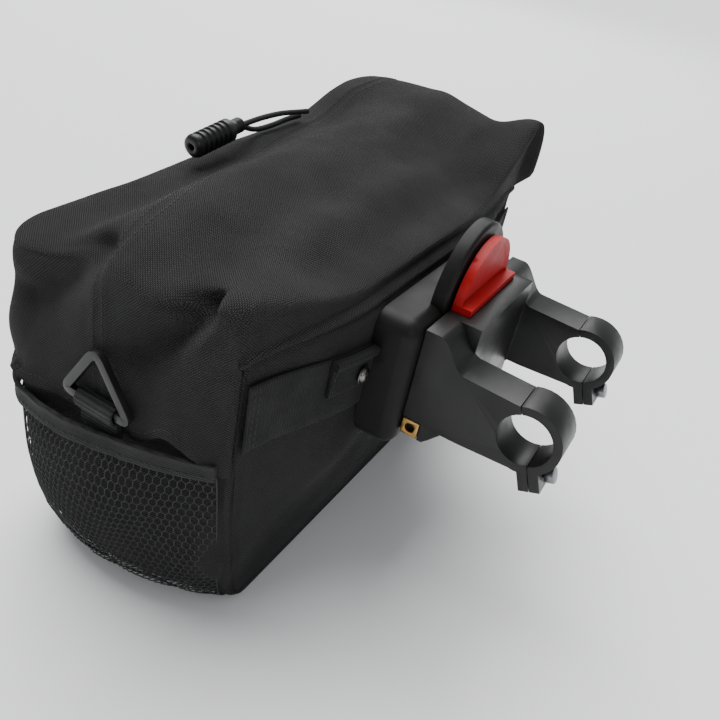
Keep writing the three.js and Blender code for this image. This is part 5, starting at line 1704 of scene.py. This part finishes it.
class BAG_OT_cords(bpy.types.Operator):
    """Makes the drawcord's two strands with their ribbed lock"""
    bl_idname = "bag.cords"
    bl_label = "Cords and lock"

    def execute(self, context):
        barrel, plunger = make_cord_lock()
        make_cord("cord_strand_upper", "drawcord_upper", CORD_UPPER)
        make_cord("cord_strand_lower", "drawcord_lower", CORD_LOWER)
        return {"FINISHED"}


class BAG_OT_body(bpy.types.Operator):
    """Makes the cloth body"""
    bl_idname = "bag.body"
    bl_label = "Body"

    def execute(self, context):
        make_body()
        return {"FINISHED"}


class BAG_OT_lid(bpy.types.Operator):
    """Makes the puffed lid with its skirts, folds and double seam"""
    bl_idname = "bag.lid"
    bl_label = "Lid"

    def execute(self, context):
        tree, seam = make_lid()
        make_lid_stitches(tree, seam)
        return {"FINISHED"}


class BAG_OT_pockets(bpy.types.Operator):
    """Makes the net pockets and their elastic bindings"""
    bl_idname = "bag.pockets"
    bl_label = "Net pockets"

    def execute(self, context):
        rows = Stitching()
        for label, side in (("left", -1), ("right", 1)):
            net = make_net(label, side)
            binding = make_binding(label, side, rows)
        rows.make("binding_stitches")
        return {"FINISHED"}


class BAG_OT_webbing(bpy.types.Operator):
    """Makes the back straps with their folded ends, and the tabs that hold the rings"""
    bl_idname = "bag.webbing"
    bl_label = "Straps and tabs"

    def execute(self, context):
        make_back_straps()
        rows = Stitching()
        make_webbing_tabs(rows)
        rows.make("tab_stitches")
        return {"FINISHED"}


class BAG_OT_rings(bpy.types.Operator):
    """Makes the two triangular rings"""
    bl_idname = "bag.rings"
    bl_label = "Rings"

    def execute(self, context):
        make_rings()
        return {"FINISHED"}


class BAG_OT_rivets(bpy.types.Operator):
    """Makes the nickel rivets"""
    bl_idname = "bag.rivets"
    bl_label = "Rivets"

    def execute(self, context):
        make_rivets()
        return {"FINISHED"}


class BAG_OT_housing(bpy.types.Operator):
    """Makes the rounded housing on the back panel"""
    bl_idname = "bag.housing"
    bl_label = "Housing"

    def execute(self, context):
        make_housing()
        return {"FINISHED"}


class BAG_OT_bracket(bpy.types.Operator):
    """Finishes the bracket, its clamps, screws and nuts"""
    bl_idname = "bag.bracket"
    bl_label = "Bracket"

    def execute(self, context):
        make_bracket()
        make_clamps()
        return {"FINISHED"}


class BAG_OT_button(bpy.types.Operator):
    """Makes the red release button"""
    bl_idname = "bag.button"
    bl_label = "Button"

    def execute(self, context):
        make_button()
        return {"FINISHED"}


class BAG_OT_stage(bpy.types.Operator):
    """Makes the pale floor and the soft light"""
    bl_idname = "bag.stage"
    bl_label = "Stage"

    def execute(self, context):
        deselect()
        bpy.ops.mesh.primitive_plane_add(size=60, location=(0, 0, 0))
        floor = settle(context.object, "floor", stage_material())
        world = bpy.data.worlds.new("overcast")
        world.use_nodes = True
        sky = world.node_tree.nodes["Background"]
        sky.inputs["Color"].default_value = SKY_COLOUR
        sky_nodes = Nodes(world.node_tree)
        seen = sky_nodes.add("ShaderNodeLightPath").outputs["Is Camera Ray"]
        sky_nodes.plug(sky.inputs["Strength"], sky_nodes.between(seen, SKY_LIGHT, SKY_SEEN))
        context.scene.world = world
        deselect()
        bpy.ops.object.light_add(type="SUN", location=(0, 0, 3))
        sun = context.object
        sun.data.energy = SUN_POWER
        sun.data.angle = SUN_SPREAD
        sun.rotation_euler = Vector(SUN_WAY).to_track_quat("-Z", "Y").to_euler()
        for lamp in LAMPS:
            deselect()
            bpy.ops.object.light_add(type="AREA", location=lamp.place)
            light = context.object
            light.data.size = lamp.size
            light.data.energy = lamp.power
            way = Vector(LAMP_AIM) - Vector(lamp.place)
            light.rotation_euler = way.to_track_quat("-Z", "Y").to_euler()
        return {"FINISHED"}


STEPS = (BAG_OT_camera, BAG_OT_cords, BAG_OT_body, BAG_OT_lid, BAG_OT_pockets, BAG_OT_webbing, BAG_OT_rings,
         BAG_OT_rivets, BAG_OT_housing, BAG_OT_bracket, BAG_OT_button, BAG_OT_stage)


class BAG_PT_panel(bpy.types.Panel):
    """Sidebar panel of the handlebar bag"""
    bl_label = "Handlebar bag"
    bl_space_type = "VIEW_3D"
    bl_region_type = "UI"
    bl_category = "Bag"

    def draw(self, context):
        for name in BagProperties.__annotations__:
            self.layout.prop(context.scene.handlebar_bag, name)
        for step in STEPS:
            self.layout.operator(step.bl_idname)


CLASSES = (BagProperties, *STEPS, BAG_PT_panel)


def register():
    for each in CLASSES:
        bpy.utils.register_class(each)
    bpy.types.Scene.handlebar_bag = bpy.props.PointerProperty(type=BagProperties)


def unregister():
    del bpy.types.Scene.handlebar_bag
    for each in reversed(CLASSES):
        bpy.utils.unregister_class(each)


def main():
    register()
    for step in STEPS:
        group, action = step.bl_idname.split(".")
        getattr(getattr(bpy.ops, group), action)()


if __name__ == "__main__":
    main()
